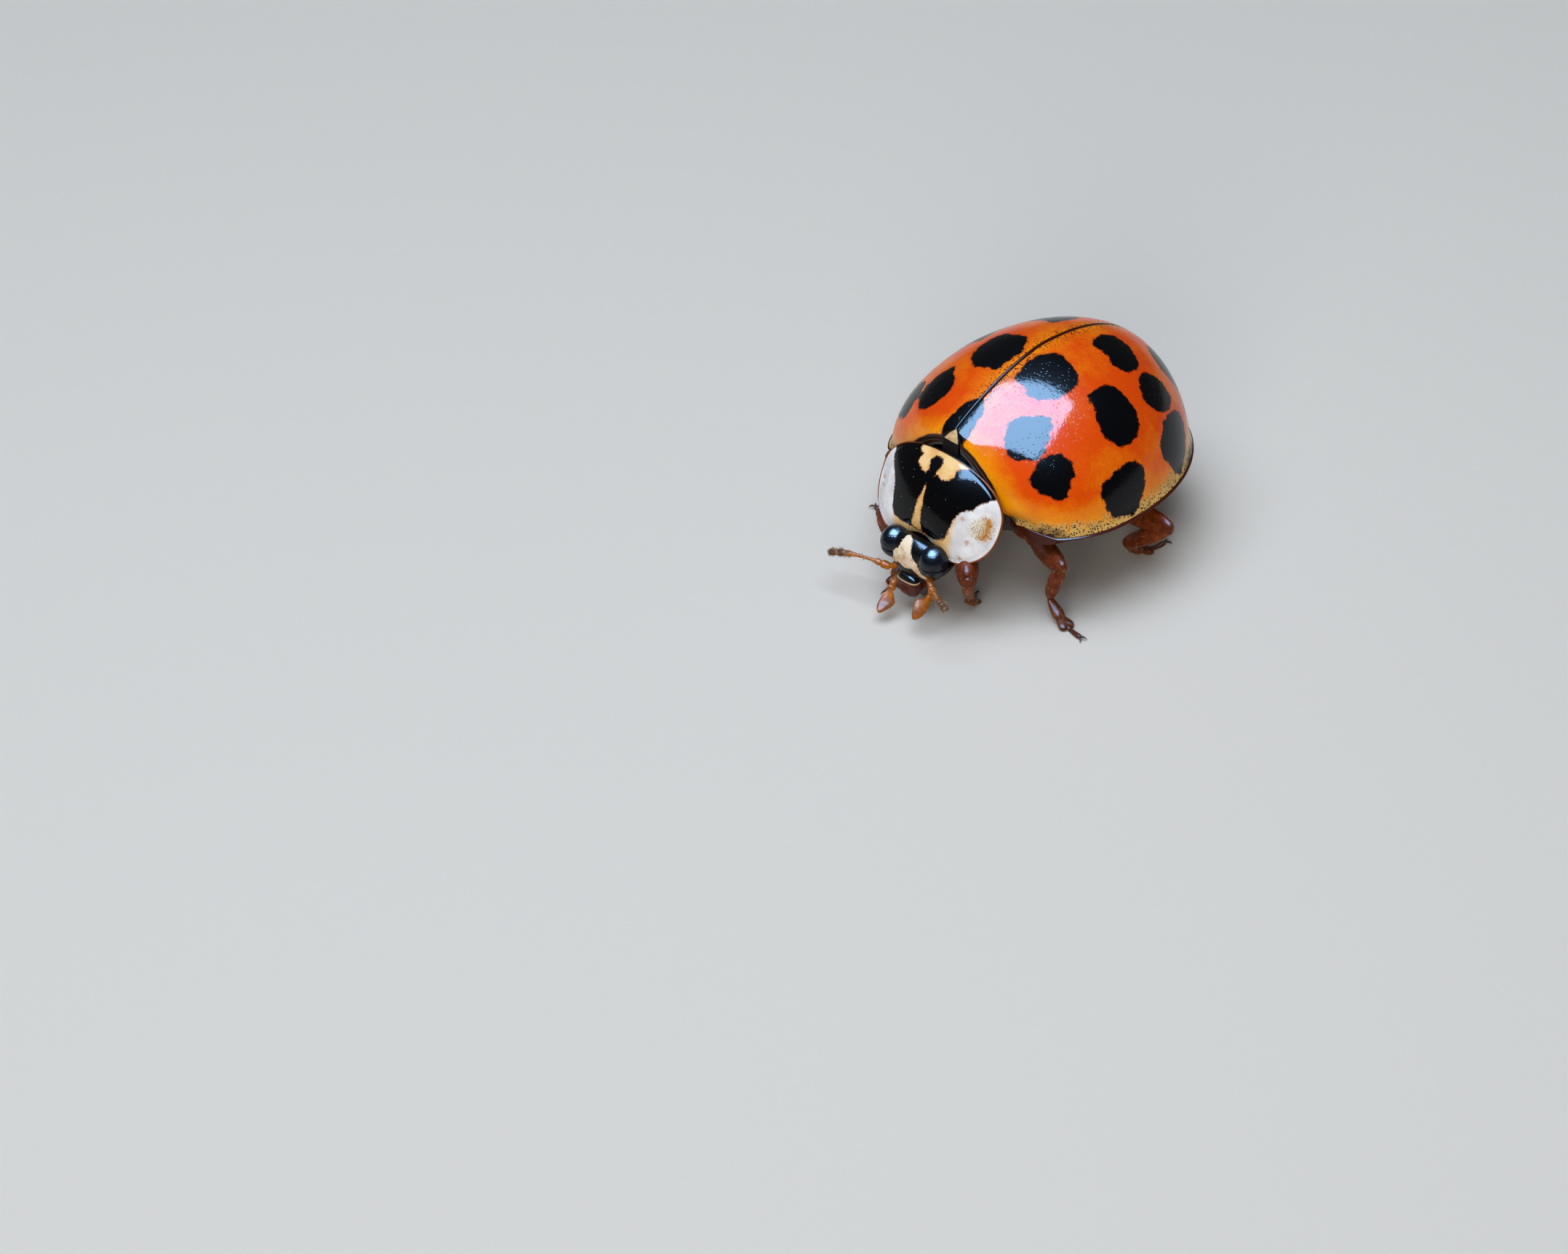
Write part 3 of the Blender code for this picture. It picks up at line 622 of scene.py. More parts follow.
# Thin cream chitin with no wax on it: matt and faintly clouded, and black where it folds down
shield_chitin, tree, shader, where = new_material("cream_chitin_shield", Roughness=0.6,
                                                  Specular_IOR_Level=0.08)
edge = add(tree, "Attribute", out="Fac", attribute_name="edge")
grain = add(tree, "TexNoise", {"Vector": where, "Scale": SHIELD_GRAINS, "Detail": 4.0})
tone = add(tree, "MixRGB", (add(tree, "MapRange", (grain, 0.35, 0.7)), "D8BC8A", "B08A55"))
border = add(tree, "Math", (grain, 0.25, edge), operation="MULTIPLY_ADD")
tone = add(tree, "MixRGB", (add(tree, "MapRange", (border, 0.92, 1.06)), tone, "140A06"))
dress(tree, shader, tone, add(tree, "Bump", {"Height": grain, "Distance": 3 * MICRON}))
build_piece("scutellum_shield", [shield], shield_chitin, ["scutellum"],
            {"edge": [shield_edge]})

# ---------------------------------------------------------------------------------------------
# Pronotum: one broad domed plate over the front of the thorax, with a bay for the head and a lobe
# hanging at each side. White pigment shows in the lobes, black melanin makes the M between them,
# and the thin beaded edge is clear brown chitin.
PLATE_FRONT = (0.0, -2.60, 1.57)     # where its slope is measured from, near the bay
PLATE_SLOPE = math.radians(65)
PLATE_UP = np.array((0.0, math.cos(PLATE_SLOPE), math.sin(PLATE_SLOPE)))
PLATE_OUT = np.array((0.0, -math.sin(PLATE_SLOPE), math.cos(PLATE_SLOPE)))
PLATE_HALF_WIDTH = 1.54
PLATE_CENTRE = 0.75          # up the slope, at the widest place
PLATE_AHEAD = 1.08           # length of the outline's front half, and of its rear half
PLATE_BEHIND = 0.90
PLATE_POWERS = (2.6, 2.2)
PLATE_BAY = 0.33
PLATE_BULGE = 0.27
PLATE_DROOP = 0.22
PLATE_SINK = 0.02
PLATE_BEAD = 0.018
PLATE_WALL = 0.26
PLATE_CLEAR = 0.02           # between its rear edge and the wing cases
PLATE_COLUMNS = 320
GROOVE_DEPTH = 0.018         # of the fine groove inside the bead, deepest in the side lobes
GROOVE_PLACE = 0.955         # share of the way out
GROOVE_WIDTH = 0.022
GROOVE_SIDE = 1.5            # where, across the plate, it has its full depth
FLECK_RADIUS = 0.045
# Grains to the millimetre of each pattern. The specks are drawn as coarse as they need to show.
PLATE_GRAINS = {"cloud": 2.6, "pits": 8.0, "ragged": 20.0, "specks": 34.0}

# Its markings as outlines (across, up the slope), from the bay for the head
PLATE_BLACK = ((-0.34, 0.10), (-0.56, 0.11), (-0.71, 0.15), (-0.78, 0.27), (-0.82, 0.45), (-0.88, 0.68),
               (-0.99, 0.85), (-1.14, 0.99), (-1.24, 1.14), (-1.33, 1.45), (-0.90, 1.90), (0.0, 2.0),
               (0.95, 1.90), (1.36, 1.40), (1.20, 1.19), (1.06, 1.06), (0.99, 0.93), (0.87, 0.87),
               (0.77, 0.76), (0.70, 0.61), (0.66, 0.44), (0.63, 0.28), (0.55, 0.16), (0.30, 0.07),
               (0.02, 0.08))
PLATE_PATCH = ((-0.63, 1.57), (-0.60, 1.46), (-0.49, 1.43), (-0.53, 1.32), (-0.42, 1.23), (-0.25, 1.17),
               (-0.08, 1.16), (0.06, 1.22), (0.20, 1.19), (0.34, 1.24), (0.42, 1.34), (0.39, 1.43),
               (0.47, 1.50), (0.62, 1.60), (0.30, 1.80), (-0.30, 1.82))
PLATE_STEM = ((-0.20, 1.10), (-0.17, 1.28), (-0.23, 1.40), (-0.20, 1.49), (-0.10, 1.53), (0.00, 1.49),
              (0.03, 1.39), (0.00, 1.28), (0.03, 1.10))
PLATE_WEDGE = ((-0.095, 1.03), (-0.13, 0.84), (-0.17, 0.64), (-0.19, 0.40), (-0.23, 0.12), (0.00, 0.10),
               (-0.01, 0.45), (-0.02, 0.68), (-0.05, 0.88))
PLATE_BLOTCH = ((1.04, 0.52), (1.06, 0.72), (1.15, 0.80), (1.24, 0.90), (1.36, 0.86), (1.42, 0.66),
                (1.38, 0.46), (1.22, 0.40))
PLATE_FLECKS = ((1.05, 0.28), (0.94, -0.07), (0.86, 0.70), (-1.33, 0.62), (-1.28, 0.48))


def plate_frame(across, along, height):
    """Points given across the plate, up its slope and out of it, in the frame's axes."""
    side = np.array((1.0, 0.0, 0.0))
    return (np.array(PLATE_FRONT) + across[..., None] * side + along[..., None] * PLATE_UP
            + height[..., None] * PLATE_OUT)


def plate_surface(radius, angle):
    """(across, up, out) of the plate's outer face: a superellipse outline scaled by radius, with the
    bay pressed in ahead, bulging by 1 - radius^2 and drooping towards the sides."""
    ahead = np.sin(angle) < 0
    length = np.where(ahead, PLATE_AHEAD, PLATE_BEHIND) - PLATE_BEAD
    power = np.where(ahead, *PLATE_POWERS)
    edge = (np.abs(np.cos(angle) / (PLATE_HALF_WIDTH - PLATE_BEAD)) ** power
            + np.abs(np.sin(angle) / length) ** power) ** (-1.0 / power)
    across = radius * edge * np.cos(angle)
    along = PLATE_CENTRE + radius * edge * np.sin(angle)
    bay = np.maximum(0.0, 1 - across ** 2) ** 2
    along = along + np.where(ahead, PLATE_BAY * bay * (radius * np.sin(angle)) ** 2, 0.0)
    out = PLATE_BULGE * (1 - radius ** 2) - PLATE_DROOP * np.abs(across / PLATE_HALF_WIDTH) ** 2.5
    return across, along, out - PLATE_SINK


angle = np.linspace(-np.pi, np.pi, PLATE_COLUMNS, endpoint=False)[None, :]
radius = np.sin(np.linspace(0, np.pi / 2, 96))[:, None]
top_across, top_along, top_out = plate_surface(radius, angle)
groove = GROOVE_DEPTH * np.exp(-((radius - GROOVE_PLACE) / GROOVE_WIDTH) ** 2)
top_out = top_out - groove * np.abs(top_across / GROOVE_SIDE) ** 1.5
bend = np.radians(np.linspace(95, -85, 9))[:, None]
rim_across, rim_along, rim_out = (part[-1:] for part in (top_across, top_along, top_out))
bead_across = rim_across + PLATE_BEAD * np.cos(bend) * np.cos(angle)
bead_along = rim_along + PLATE_BEAD * np.cos(bend) * np.sin(angle)
bead_out = rim_out - 0.004 + PLATE_BEAD * np.sin(bend)
low_radius = np.cos(np.linspace(0, np.pi / 2, 26))[1:, None]
low_across, low_along, low_out = plate_surface(low_radius, angle)
low_out = low_out - 0.05 - PLATE_WALL * (1 - low_radius ** 2) ** 0.7
plate_grid = np.concatenate([plate_frame(top_across, top_along, top_out),
                             plate_frame(bead_across, bead_along, bead_out),
                             plate_frame(low_across, low_along, low_out)])
plate_grid[..., 1] = np.minimum(plate_grid[..., 1], CASE_FRONT - PLATE_CLEAR)

flat_plate = np.stack([top_across, top_along], -1).reshape(-1, 2)
plate_shape = top_across.shape


def plate_mark(corners):
    """Signed distance to a marking's edge, measured along the plate's slope."""
    return mark_distance(flat_plate, corners, lambda outline: outline).reshape(plate_shape)


dark = np.maximum(plate_mark(PLATE_BLACK), -np.minimum(plate_mark(PLATE_PATCH), plate_mark(PLATE_WEDGE)))
dark = np.minimum(dark, plate_mark(PLATE_STEM))
fleck = np.min([np.hypot(top_across - x, top_along - y) for x, y in PLATE_FLECKS], axis=0) - FLECK_RADIUS
blotch = plate_mark(PLATE_BLOTCH)
rim = np.stack([rim_across, rim_along], -1)[0]
edge = nearest(flat_plate, np.concatenate([rim, rim[:1]])).reshape(plate_shape)
rest = (plate_grid.shape[0] - plate_shape[0], plate_shape[1])
plate_marks = {key: [np.concatenate([value, np.full(rest, outside)])]
               for key, value, outside in (("dark", dark, 0.5), ("blotch", blotch, 0.5),
                                           ("fleck", fleck, 0.5), ("edge", edge, -0.03))}

# Glossy waxed chitin over white and cream pigment, with a pearly depth in the side lobes, where light
# soaks in. The black is melanin, as on the wing cases.
plate_shell, tree, shader, where = new_material(
    "pearly_and_black_chitin", Roughness=0.32, Coat_Weight=0.6, Coat_Roughness=0.06, Coat_IOR=1.36,
    Specular_IOR_Level=0.02, Subsurface_Weight=0.12, Subsurface_Scale=0.0001)
dark, blotch, fleck, edge = (add(tree, "Attribute", out="Fac", attribute_name=key)
                             for key in ("dark", "blotch", "fleck", "edge"))
across = add(tree, "SeparateXYZ", (where,))
side = add(tree, "Math", (across,), operation="ABSOLUTE")
cloud = add(tree, "TexNoise", {"Vector": where, "Scale": PLATE_GRAINS["cloud"], "Detail": 3.0})
ragged = add(tree, "TexNoise", {"Vector": where, "Scale": PLATE_GRAINS["ragged"], "Detail": 3.0,
                                "Roughness": 0.6})
cells = add(tree, "TexVoronoi", {"Vector": where, "Scale": PLATE_GRAINS["specks"]})
pearl = add(tree, "MixRGB", (add(tree, "MapRange", (cloud, 0.38, 0.62)), "F4F5F8", "D9D8DC"))
cream = add(tree, "MixRGB", (add(tree, "MapRange", (cloud, 0.38, 0.62)), "F3D196", "E3B06A"))
colour = add(tree, "MixRGB", (add(tree, "MapRange", (side, 0.66, 0.80)), cream, pearl))
# In the left lobe, a tan blotch full of dark specks and a few small flecks
grain = add(tree, "Math", (ragged, 0.20, blotch), operation="MULTIPLY_ADD")
drift = add(tree, "Math", (cloud, 0.5, across), operation="MULTIPLY_ADD")
sunny = add(tree, "MixRGB", (add(tree, "MapRange", (drift, 1.38, 1.56)), "E2D6C2", "C4873A"))
specks = add(tree, "MixRGB", (add(tree, "MapRange", (cells, 0.24, 0.36)), "1E0F08", sunny))
colour = add(tree, "MixRGB", (add(tree, "MapRange", (grain, 0.14, 0.05)), colour, specks))
grain = add(tree, "Math", (ragged, 0.14, fleck), operation="MULTIPLY_ADD")
colour = add(tree, "MixRGB", (add(tree, "MapRange", (grain, 0.09, 0.03, 0.0, 0.8)), colour, "B97A2E"))
# Specks along the front edge, the black marks with a brown border, and the beaded rim
border = add(tree, "Math", (add(tree, "MapRange", (edge, 0.14, 0.05)),
                            add(tree, "MapRange", (side, 0.95, 0.75))), operation="MULTIPLY")
border = add(tree, "Math", (border, add(tree, "MapRange", (cells, 0.40, 0.26))), operation="MULTIPLY")
depth = add(tree, "SeparateXYZ", (where,), out=1)
border = add(tree, "Math", (border, add(tree, "MapRange", (depth, -2.30, -2.45))), operation="MULTIPLY")
colour = add(tree, "MixRGB", (border, colour, "3A2010"))
torn = add(tree, "Math", (ragged, 0.10, dark), operation="MULTIPLY_ADD")
colour = add(tree, "MixRGB", (add(tree, "MapRange", (torn, 0.082, 0.052)), colour, "5A2A0C"))
colour = add(tree, "MixRGB", (add(tree, "MapRange", (torn, 0.060, 0.040)), colour, "050506"))
rim = add(tree, "MixRGB", (add(tree, "MapRange", (side, 0.60, 0.95)), "1E120C", "8A4418"))
colour = add(tree, "MixRGB", (add(tree, "MapRange", (edge, 0.016, 0.004)), colour, rim))
pits = add(tree, "TexVoronoi", {"Vector": where, "Scale": PLATE_GRAINS["pits"]})
# Pale blue-grey dots at the pits' centres: painted glints where the plate is black, and painted shade in the
# pits' hollows where it is white
colour = add(tree, "MixRGB", (add(tree, "MapRange", (pits, 0.09, 0.05, 0.0, 0.6)), colour, "9AA0A8"))
pit_depth = add(tree, "MapRange", (pits, 0.04, 0.14, -1.0, 0.0))
relief = add(tree, "Bump", {"Height": pit_depth, "Distance": 2 * MICRON})
relief = add(tree, "Bump", {"Height": ragged, "Distance": 1.2 * MICRON, "Normal": relief})
dress(tree, shader, colour, relief)
build_piece("pronotum_plate", [plate_grid], plate_shell, ["pronotum"], plate_marks)

# ---------------------------------------------------------------------------------------------
# Head: a black capsule of chitin pushed up into the bay of the pronotum, with a cream three-sided
# mark on the brow that runs out under the left eye.
HEAD_CENTRE = (0.0, -2.60, 1.22)
HEAD_SIZE = (0.74, 0.47, 0.62)
HEAD_POWER = 2.3
HEAD_ROWS = 150
HEAD_COLUMNS = 240
CHIN_NARROWING = 0.38
CROWN_FLATNESS = (0.50, 0.76)    # of the crown's height kept, below the pronotum and at the brow
CROWN_START = -2.55
CROWN_RUN = 0.35
BROW_BACK = 0.05             # how far ahead of the head's middle its mark stops
HEAD_GRAINS = {"cloud": 6.0, "pits": 16.0, "ragged": 22.0}       # to the millimetre
BROW_MARK = ((-0.10, 1.79), (0.02, 1.73), (0.08, 1.62), (0.12, 1.50), (0.15, 1.39), (0.22, 1.34),
             (0.27, 1.28), (0.30, 1.19), (0.33, 1.10), (0.37, 1.03), (0.43, 0.97), (0.44, 0.91),
             (0.37, 0.95), (0.30, 1.01), (0.25, 1.07), (0.17, 1.11), (0.08, 1.11), (-0.03, 1.08),
             (-0.18, 1.12), (-0.29, 1.07), (-0.39, 1.05), (-0.45, 1.17), (-0.32, 1.33), (-0.22, 1.44),
             (-0.18, 1.53), (-0.15, 1.70))


def ball(centre, size, power=2.0, rows=40, columns=64):
    """A superellipsoid about the z axis: a unit sphere's points pushed out until the sum of
    |x|^p, |y|^p and |z|^p is 1, then scaled to its three half sizes."""
    up = np.linspace(-np.pi / 2, np.pi / 2, rows)[:, None]
    around = np.linspace(0, 2 * np.pi, columns, endpoint=False)[None, :]
    unit = np.stack([np.cos(up) * np.cos(around), np.cos(up) * np.sin(around), np.sin(up) + 0 * around], -1)
    unit[0], unit[-1] = (0, 0, -1), (0, 0, 1)
    unit = unit * (np.abs(unit) ** power).sum(-1, keepdims=True) ** (-1.0 / power)
    return np.array(centre) + unit * np.array(size)


def lower_crown(points):
    """Flattens the crown so that the brow slopes in under the pronotum's front edge: heights above
    the head's middle are multiplied by a share that eases from one value to the other."""
    height = points[..., 2] - HEAD_CENTRE[2]
    ahead = smooth_step(points[..., 1], CROWN_START, CROWN_START - CROWN_RUN)
    share = CROWN_FLATNESS[0] + (CROWN_FLATNESS[1] - CROWN_FLATNESS[0]) * ahead
    return np.stack([points[..., 0], points[..., 1],
                     HEAD_CENTRE[2] + height * np.where(height > 0, share, 1.0)], -1)


head_grid = ball(HEAD_CENTRE, HEAD_SIZE, HEAD_POWER, HEAD_ROWS, HEAD_COLUMNS)
below = np.maximum(0.0, (HEAD_CENTRE[2] - head_grid[..., 2]) / HEAD_SIZE[2])
head_grid[..., 0] *= 1 - CHIN_NARROWING * below
flat_head = head_grid.reshape(-1, 3)


def on_brow(outline):
    """Outline points given across and up, laid on the front of the head."""
    depth = np.abs(outline[:, 1] - HEAD_CENTRE[2]) / HEAD_SIZE[2]
    narrow = 1 - CHIN_NARROWING * np.maximum(0.0, (HEAD_CENTRE[2] - outline[:, 1]) / HEAD_SIZE[2])
    aside = np.abs(outline[:, 0] / narrow) / HEAD_SIZE[0]
    forward = np.maximum(0.0, 1 - depth ** HEAD_POWER - aside ** HEAD_POWER) ** (1 / HEAD_POWER)
    return np.stack([outline[:, 0], HEAD_CENTRE[1] - HEAD_SIZE[1] * forward, outline[:, 1]], -1)


brow = mark_distance(flat_head, BROW_MARK, on_brow, (0, 2)).reshape(head_grid.shape[:2])
brow = np.where(head_grid[..., 1] > HEAD_CENTRE[1] - BROW_BACK, 0.5, brow)
head_grid = lower_crown(head_grid)

# Black chitin with little wax on it: a soft gloss over shallow pits, and cream pigment in the mark
head_shell, tree, shader, where = new_material(
    "black_chitin_head", Roughness=0.38, Coat_Weight=0.35, Coat_Roughness=0.14, Specular_IOR_Level=0.05)
mark = add(tree, "Attribute", out="Fac", attribute_name="brow")
height = add(tree, "SeparateXYZ", (where,), out=2)
ragged = add(tree, "TexNoise", {"Vector": where, "Scale": HEAD_GRAINS["ragged"], "Detail": 3.0})
cloud = add(tree, "TexNoise", {"Vector": where, "Scale": HEAD_GRAINS["cloud"], "Detail": 3.0})
pits = add(tree, "TexVoronoi", {"Vector": where, "Scale": HEAD_GRAINS["pits"]})
pale = add(tree, "Math", (cloud, 1.2, height), operation="MULTIPLY_ADD")
cream = add(tree, "MixRGB", (add(tree, "MapRange", (pale, 2.05, 1.60)), "F3E4CC", "D2A878"))
torn = add(tree, "Math", (ragged, 0.10, mark), operation="MULTIPLY_ADD")
colour = add(tree, "MixRGB", (add(tree, "MapRange", (torn, 0.050, 0.072)), cream, "4A2410"))
colour = add(tree, "MixRGB", (add(tree, "MapRange", (torn, 0.062, 0.082)), colour, "08080A"))
pit_depth = add(tree, "MapRange", (pits, 0.06, 0.26, -1.0, 0.0))
relief = add(tree, "Bump", {"Height": pit_depth, "Distance": 2.5 * MICRON})
relief = add(tree, "Bump", {"Height": ragged, "Distance": 1.5 * MICRON, "Normal": relief})
dress(tree, shader, colour, relief)
build_piece("head_capsule", [head_grid], head_shell, ["head"], {"brow": [brow]})

# ---------------------------------------------------------------------------------------------
# Eyes: one compound eye bulging from each side of the head, blue-black, made of hundreds of small
# lenses and crossed by a faint waist where the cheek notches it.
FACET = 0.030                # across one lens; the real ones, about 0.018, would not show
EYE_WAIST = 0.028            # depth of the waist, and its half width and height on the eye
WAIST_WIDTH = 0.030
WAIST_HEIGHT = -0.04
EYE_SET = (0.03, 0.05, -0.05)    # how far inwards, back and up each eye sits from its solid
EYE_CLOUDS = 3.0             # to the millimetre

# Clear lenses over black pigment, like waxed glass beads: each has its own dome and a dark edge
eye_glass, tree, shader, where = new_material("lens_chitin_blue_black", Roughness=0.30, Coat_Weight=0.6,
                                              Coat_Roughness=0.10, Specular_IOR_Level=0.1)
lens = add(tree, "TexVoronoi", {"Vector": where, "Scale": 1 / FACET, "Randomness": 0.25})
depth = add(tree, "TexNoise", {"Vector": where, "Scale": EYE_CLOUDS})
colour = add(tree, "MixRGB", (add(tree, "MapRange", (depth, 0.35, 0.65)), "070A12", "121C30"))
colour = add(tree, "MixRGB", (add(tree, "MapRange", (lens, 0.45, 0.62)), colour, "030407"))
dome = add(tree, "MapRange", (lens, 0.0, 0.6, 1.0, 0.0))
dress(tree, shader, colour, add(tree, "Bump", {"Height": dome, "Distance": 2 * MICRON}))
for side in ("left", "right"):
    eye_low, eye_high = box_mm(f"eye_{side}")
    eye_centre = (eye_low + eye_high) / 2
    eye = ball((0, 0, 0), (eye_high - eye_low) / 2, 2.0, 90, 120)
    waist = EYE_WAIST * np.exp(-((eye[..., 2:] - WAIST_HEIGHT) / WAIST_WIDTH) ** 2)
    eye = eye * (1 - waist / np.maximum(np.linalg.norm(eye, axis=-1, keepdims=True), 1e-6))
    eye_centre = eye_centre + np.array(EYE_SET) * (-np.sign(eye_centre[0]), 1.0, 1.0)
    build_piece(f"eye_lenses_{side}", [eye_centre + eye], eye_glass, [f"eye_{side}"])

# ---------------------------------------------------------------------------------------------
# Lip and jaws: the labrum is a red-brown lip plate hung from the head's lower edge, and the tips of
# the two dark jaws close behind it.
LIP_LINE = 0.780             # height of the pale line between its black upper part and its brown one
JAW_FADE = (0.62, 0.42)      # heights between which the jaws darken
LIP_GRAINS = 12.0            # to the millimetre, as are the jaws'
JAW_GRAINS = 20.0
lip_low, lip_high = box_mm("labrum")

# Red-brown chitin, waxed, thin enough for a little light to soak in
lip_shell, tree, shader, where = new_material(
    "red_brown_chitin_lip", Roughness=0.35, Coat_Weight=0.4, Coat_Roughness=0.12, Specular_IOR_Level=0.1,
    Subsurface_Weight=0.1, Subsurface_Scale=0.00008)
grain = add(tree, "TexNoise", {"Vector": where, "Scale": LIP_GRAINS, "Detail": 4.0})
height = add(tree, "SeparateXYZ", (where,), out=2)
brown = add(tree, "MixRGB", (add(tree, "MapRange", (grain, 0.3, 0.7)), "301009", "5C240E"))
brown = add(tree, "MixRGB", (add(tree, "MapRange", (height, LIP_LINE + 0.005, LIP_LINE + 0.020)), brown,
                             "0A0808"))
off_line = add(tree, "Math", (add(tree, "Math", (height, LIP_LINE), operation="SUBTRACT"),),
               operation="ABSOLUTE")
line = add(tree, "MapRange", (off_line, 0.016, 0.009))
colour = add(tree, "MixRGB", (line, brown, "CDA882"))
dress(tree, shader, colour, add(tree, "Bump", {"Height": grain, "Distance": 3 * MICRON}))
lip = ball((lip_low + lip_high) / 2, (lip_high - lip_low) / 2, 2.6, 60, 80)
build_piece("lip_plate", [lip], lip_shell, ["labrum"])

# The hardest chitin, smooth as horn, brown at its root and black at its biting edge
jaw_horn, tree, shader, where = new_material("dark_chitin_jaw", Roughness=0.3, Coat_Weight=0.3)
grain = add(tree, "TexNoise", {"Vector": where, "Scale": JAW_GRAINS})
height = add(tree, "SeparateXYZ", (where,), out=2)
colour = add(tree, "MixRGB", (add(tree, "MapRange", (height, *JAW_FADE)), "5A240E", "0C0605"))
dress(tree, shader, colour, add(tree, "Bump", {"Height": grain, "Distance": 3 * MICRON}))
for side in ("left", "right"):
    jaw_low, jaw_high = box_mm(f"mandible_{side}")
    jaw = ball((jaw_low + jaw_high) / 2, (jaw_high - jaw_low) / 2, 2.0, 24, 28)
    build_piece(f"jaw_{side}", [jaw], jaw_horn, [f"mandible_{side}"])

# ---------------------------------------------------------------------------------------------
# Feelers: an antenna of eleven joints beside each eye, its last three a flattened club, and below
# it a palp of four joints that ends in a hatchet-shaped blade. All are clear amber chitin.
ANTENNA_JOINTS = (            # where each ends along the antenna, and its half width
    (0.13, 0.080), (0.21, 0.062), (0.30, 0.036), (0.36, 0.033), (0.42, 0.033), (0.48, 0.034),
    (0.53, 0.036), (0.59, 0.044), (0.71, 0.062), (0.84, 0.076), (1.00, 0.072))
PALP_JOINTS = ((0.14, 0.060), (0.33, 0.072), (0.44, 0.078), (1.00, 0.165))
BLADE_SLANT = 1.5             # how far the blade's inner half is cut back, for each mm off its middle
SOCKET_WIDTHS = (0.06, 0.07, 0.06)
SOCKET_SHARE = 0.30           # how far the socket starts from the antenna's root towards the head's middle
CLUB_START = 8                # the first of the club's three flattened joints
ANTENNA_FLAT = (0.5, -0.4, 0.8)      # the ways that the club's and the blade's thin sides face
PALP_FLAT = (0.6, -0.5, 0.6)
JOINT_LAP = (0.012, 0.02)     # share by which an antenna's and a palp's joints run into the next
FEELER_CLOUDS = 9.0           # to the millimetre


def solid_points(node):
    """A solid's vertices in mm."""
    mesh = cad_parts[node].data
    flat = np.zeros(len(mesh.vertices) * 3, np.float32)
    mesh.vertices.foreach_get("co", flat)
    return flat.reshape(-1, 3).astype(float) * 1000.0


def middle_line(node, root):
    """A feeler's middle line as a parabola: the solid's vertices fitted by least squares along
    their longest direction, from the end nearest the root."""
    points = solid_points(node)
    centre = points.mean(0)
    axis = np.linalg.svd(points - centre, full_matrices=False)[2][0]
    share = (points - centre) @ axis
    share = (share - share.min()) / np.ptp(share)
    near_start = np.linalg.norm(points[share.argmin()] - root)
    if near_start > np.linalg.norm(points[share.argmax()] - root):
        share = 1 - share
    square, slope, start = np.polyfit(share, points, 2)
    return lambda t: square * t[:, None] ** 2 + slope * t[:, None] + start


def joint(line, root, tip, widths, flatness, flat, blunt=3.2, rows=14, columns=18):
    """One joint of a limb between two shares of its middle line: an ellipse carried along it whose
    half width runs through widths and rounds off at both ends by a superellipse. flat is the way
    that its thin side faces, and flatness is how thin that is against its width."""
    share = (1 - np.cos(np.linspace(0, np.pi, rows))) / 2
    path = line(root + (tip - root) * share)
    half = np.interp(share, np.linspace(0, 1, len(widths)), widths) * superellipse(2 * share - 1, blunt)
    ahead = np.gradient(path, axis=0)
    ahead /= np.linalg.norm(ahead, axis=1, keepdims=True)
    across = np.cross(ahead, flat)
    across /= np.linalg.norm(across, axis=1, keepdims=True)
    upward = np.cross(across, ahead)
    angle = np.linspace(0, 2 * np.pi, columns, endpoint=False)[None, :, None]
    ring = across[:, None] * np.cos(angle) + upward[:, None] * np.sin(angle) * flatness
    return path[:, None] + ring * half[:, None, None]


def straight(start, end, bow=0.0, side=(0.0, 0.0, 1.0)):
    """A line from start to end that bows aside by bow in the middle, as a parabola."""
    start, end, side = (np.array(value, float) for value in (start, end, side))
    return lambda t: start + (end - start) * t[:, None] + side * (4 * bow * t * (1 - t))[:, None]


def amber_chitin(name, clear, deep, tip_colour, clouds):
    """Clear horny chitin over darker muscle: light soaks in a little, and it shines like amber. It is
    clouded from one colour to the other and grained six times finer, and its tips are darker."""
    made, tree, shader, where = new_material(
        name, Roughness=0.42, Coat_Weight=0.14, Coat_Roughness=0.14, Specular_IOR_Level=0.08,
        Subsurface_Weight=0.25, Subsurface_Scale=0.00008, Subsurface_Radius=(1.0, 0.35, 0.10))
    cloud = add(tree, "TexNoise", {"Vector": where, "Scale": clouds, "Detail": 4.0})
    grain = add(tree, "TexNoise", {"Vector": where, "Scale": 6 * clouds, "Detail": 2.0})
    tip = add(tree, "Attribute", out="Fac", attribute_name="tip")
    tone = add(tree, "MixRGB", (add(tree, "MapRange", (cloud, 0.34, 0.66)), clear, deep))
    relief = add(tree, "Bump", {"Height": cloud, "Distance": 3 * MICRON})
    relief = add(tree, "Bump", {"Height": grain, "Distance": 1 * MICRON, "Normal": relief})
    dress(tree, shader, add(tree, "MixRGB", (tip, tone, tip_colour)), relief)
    return made


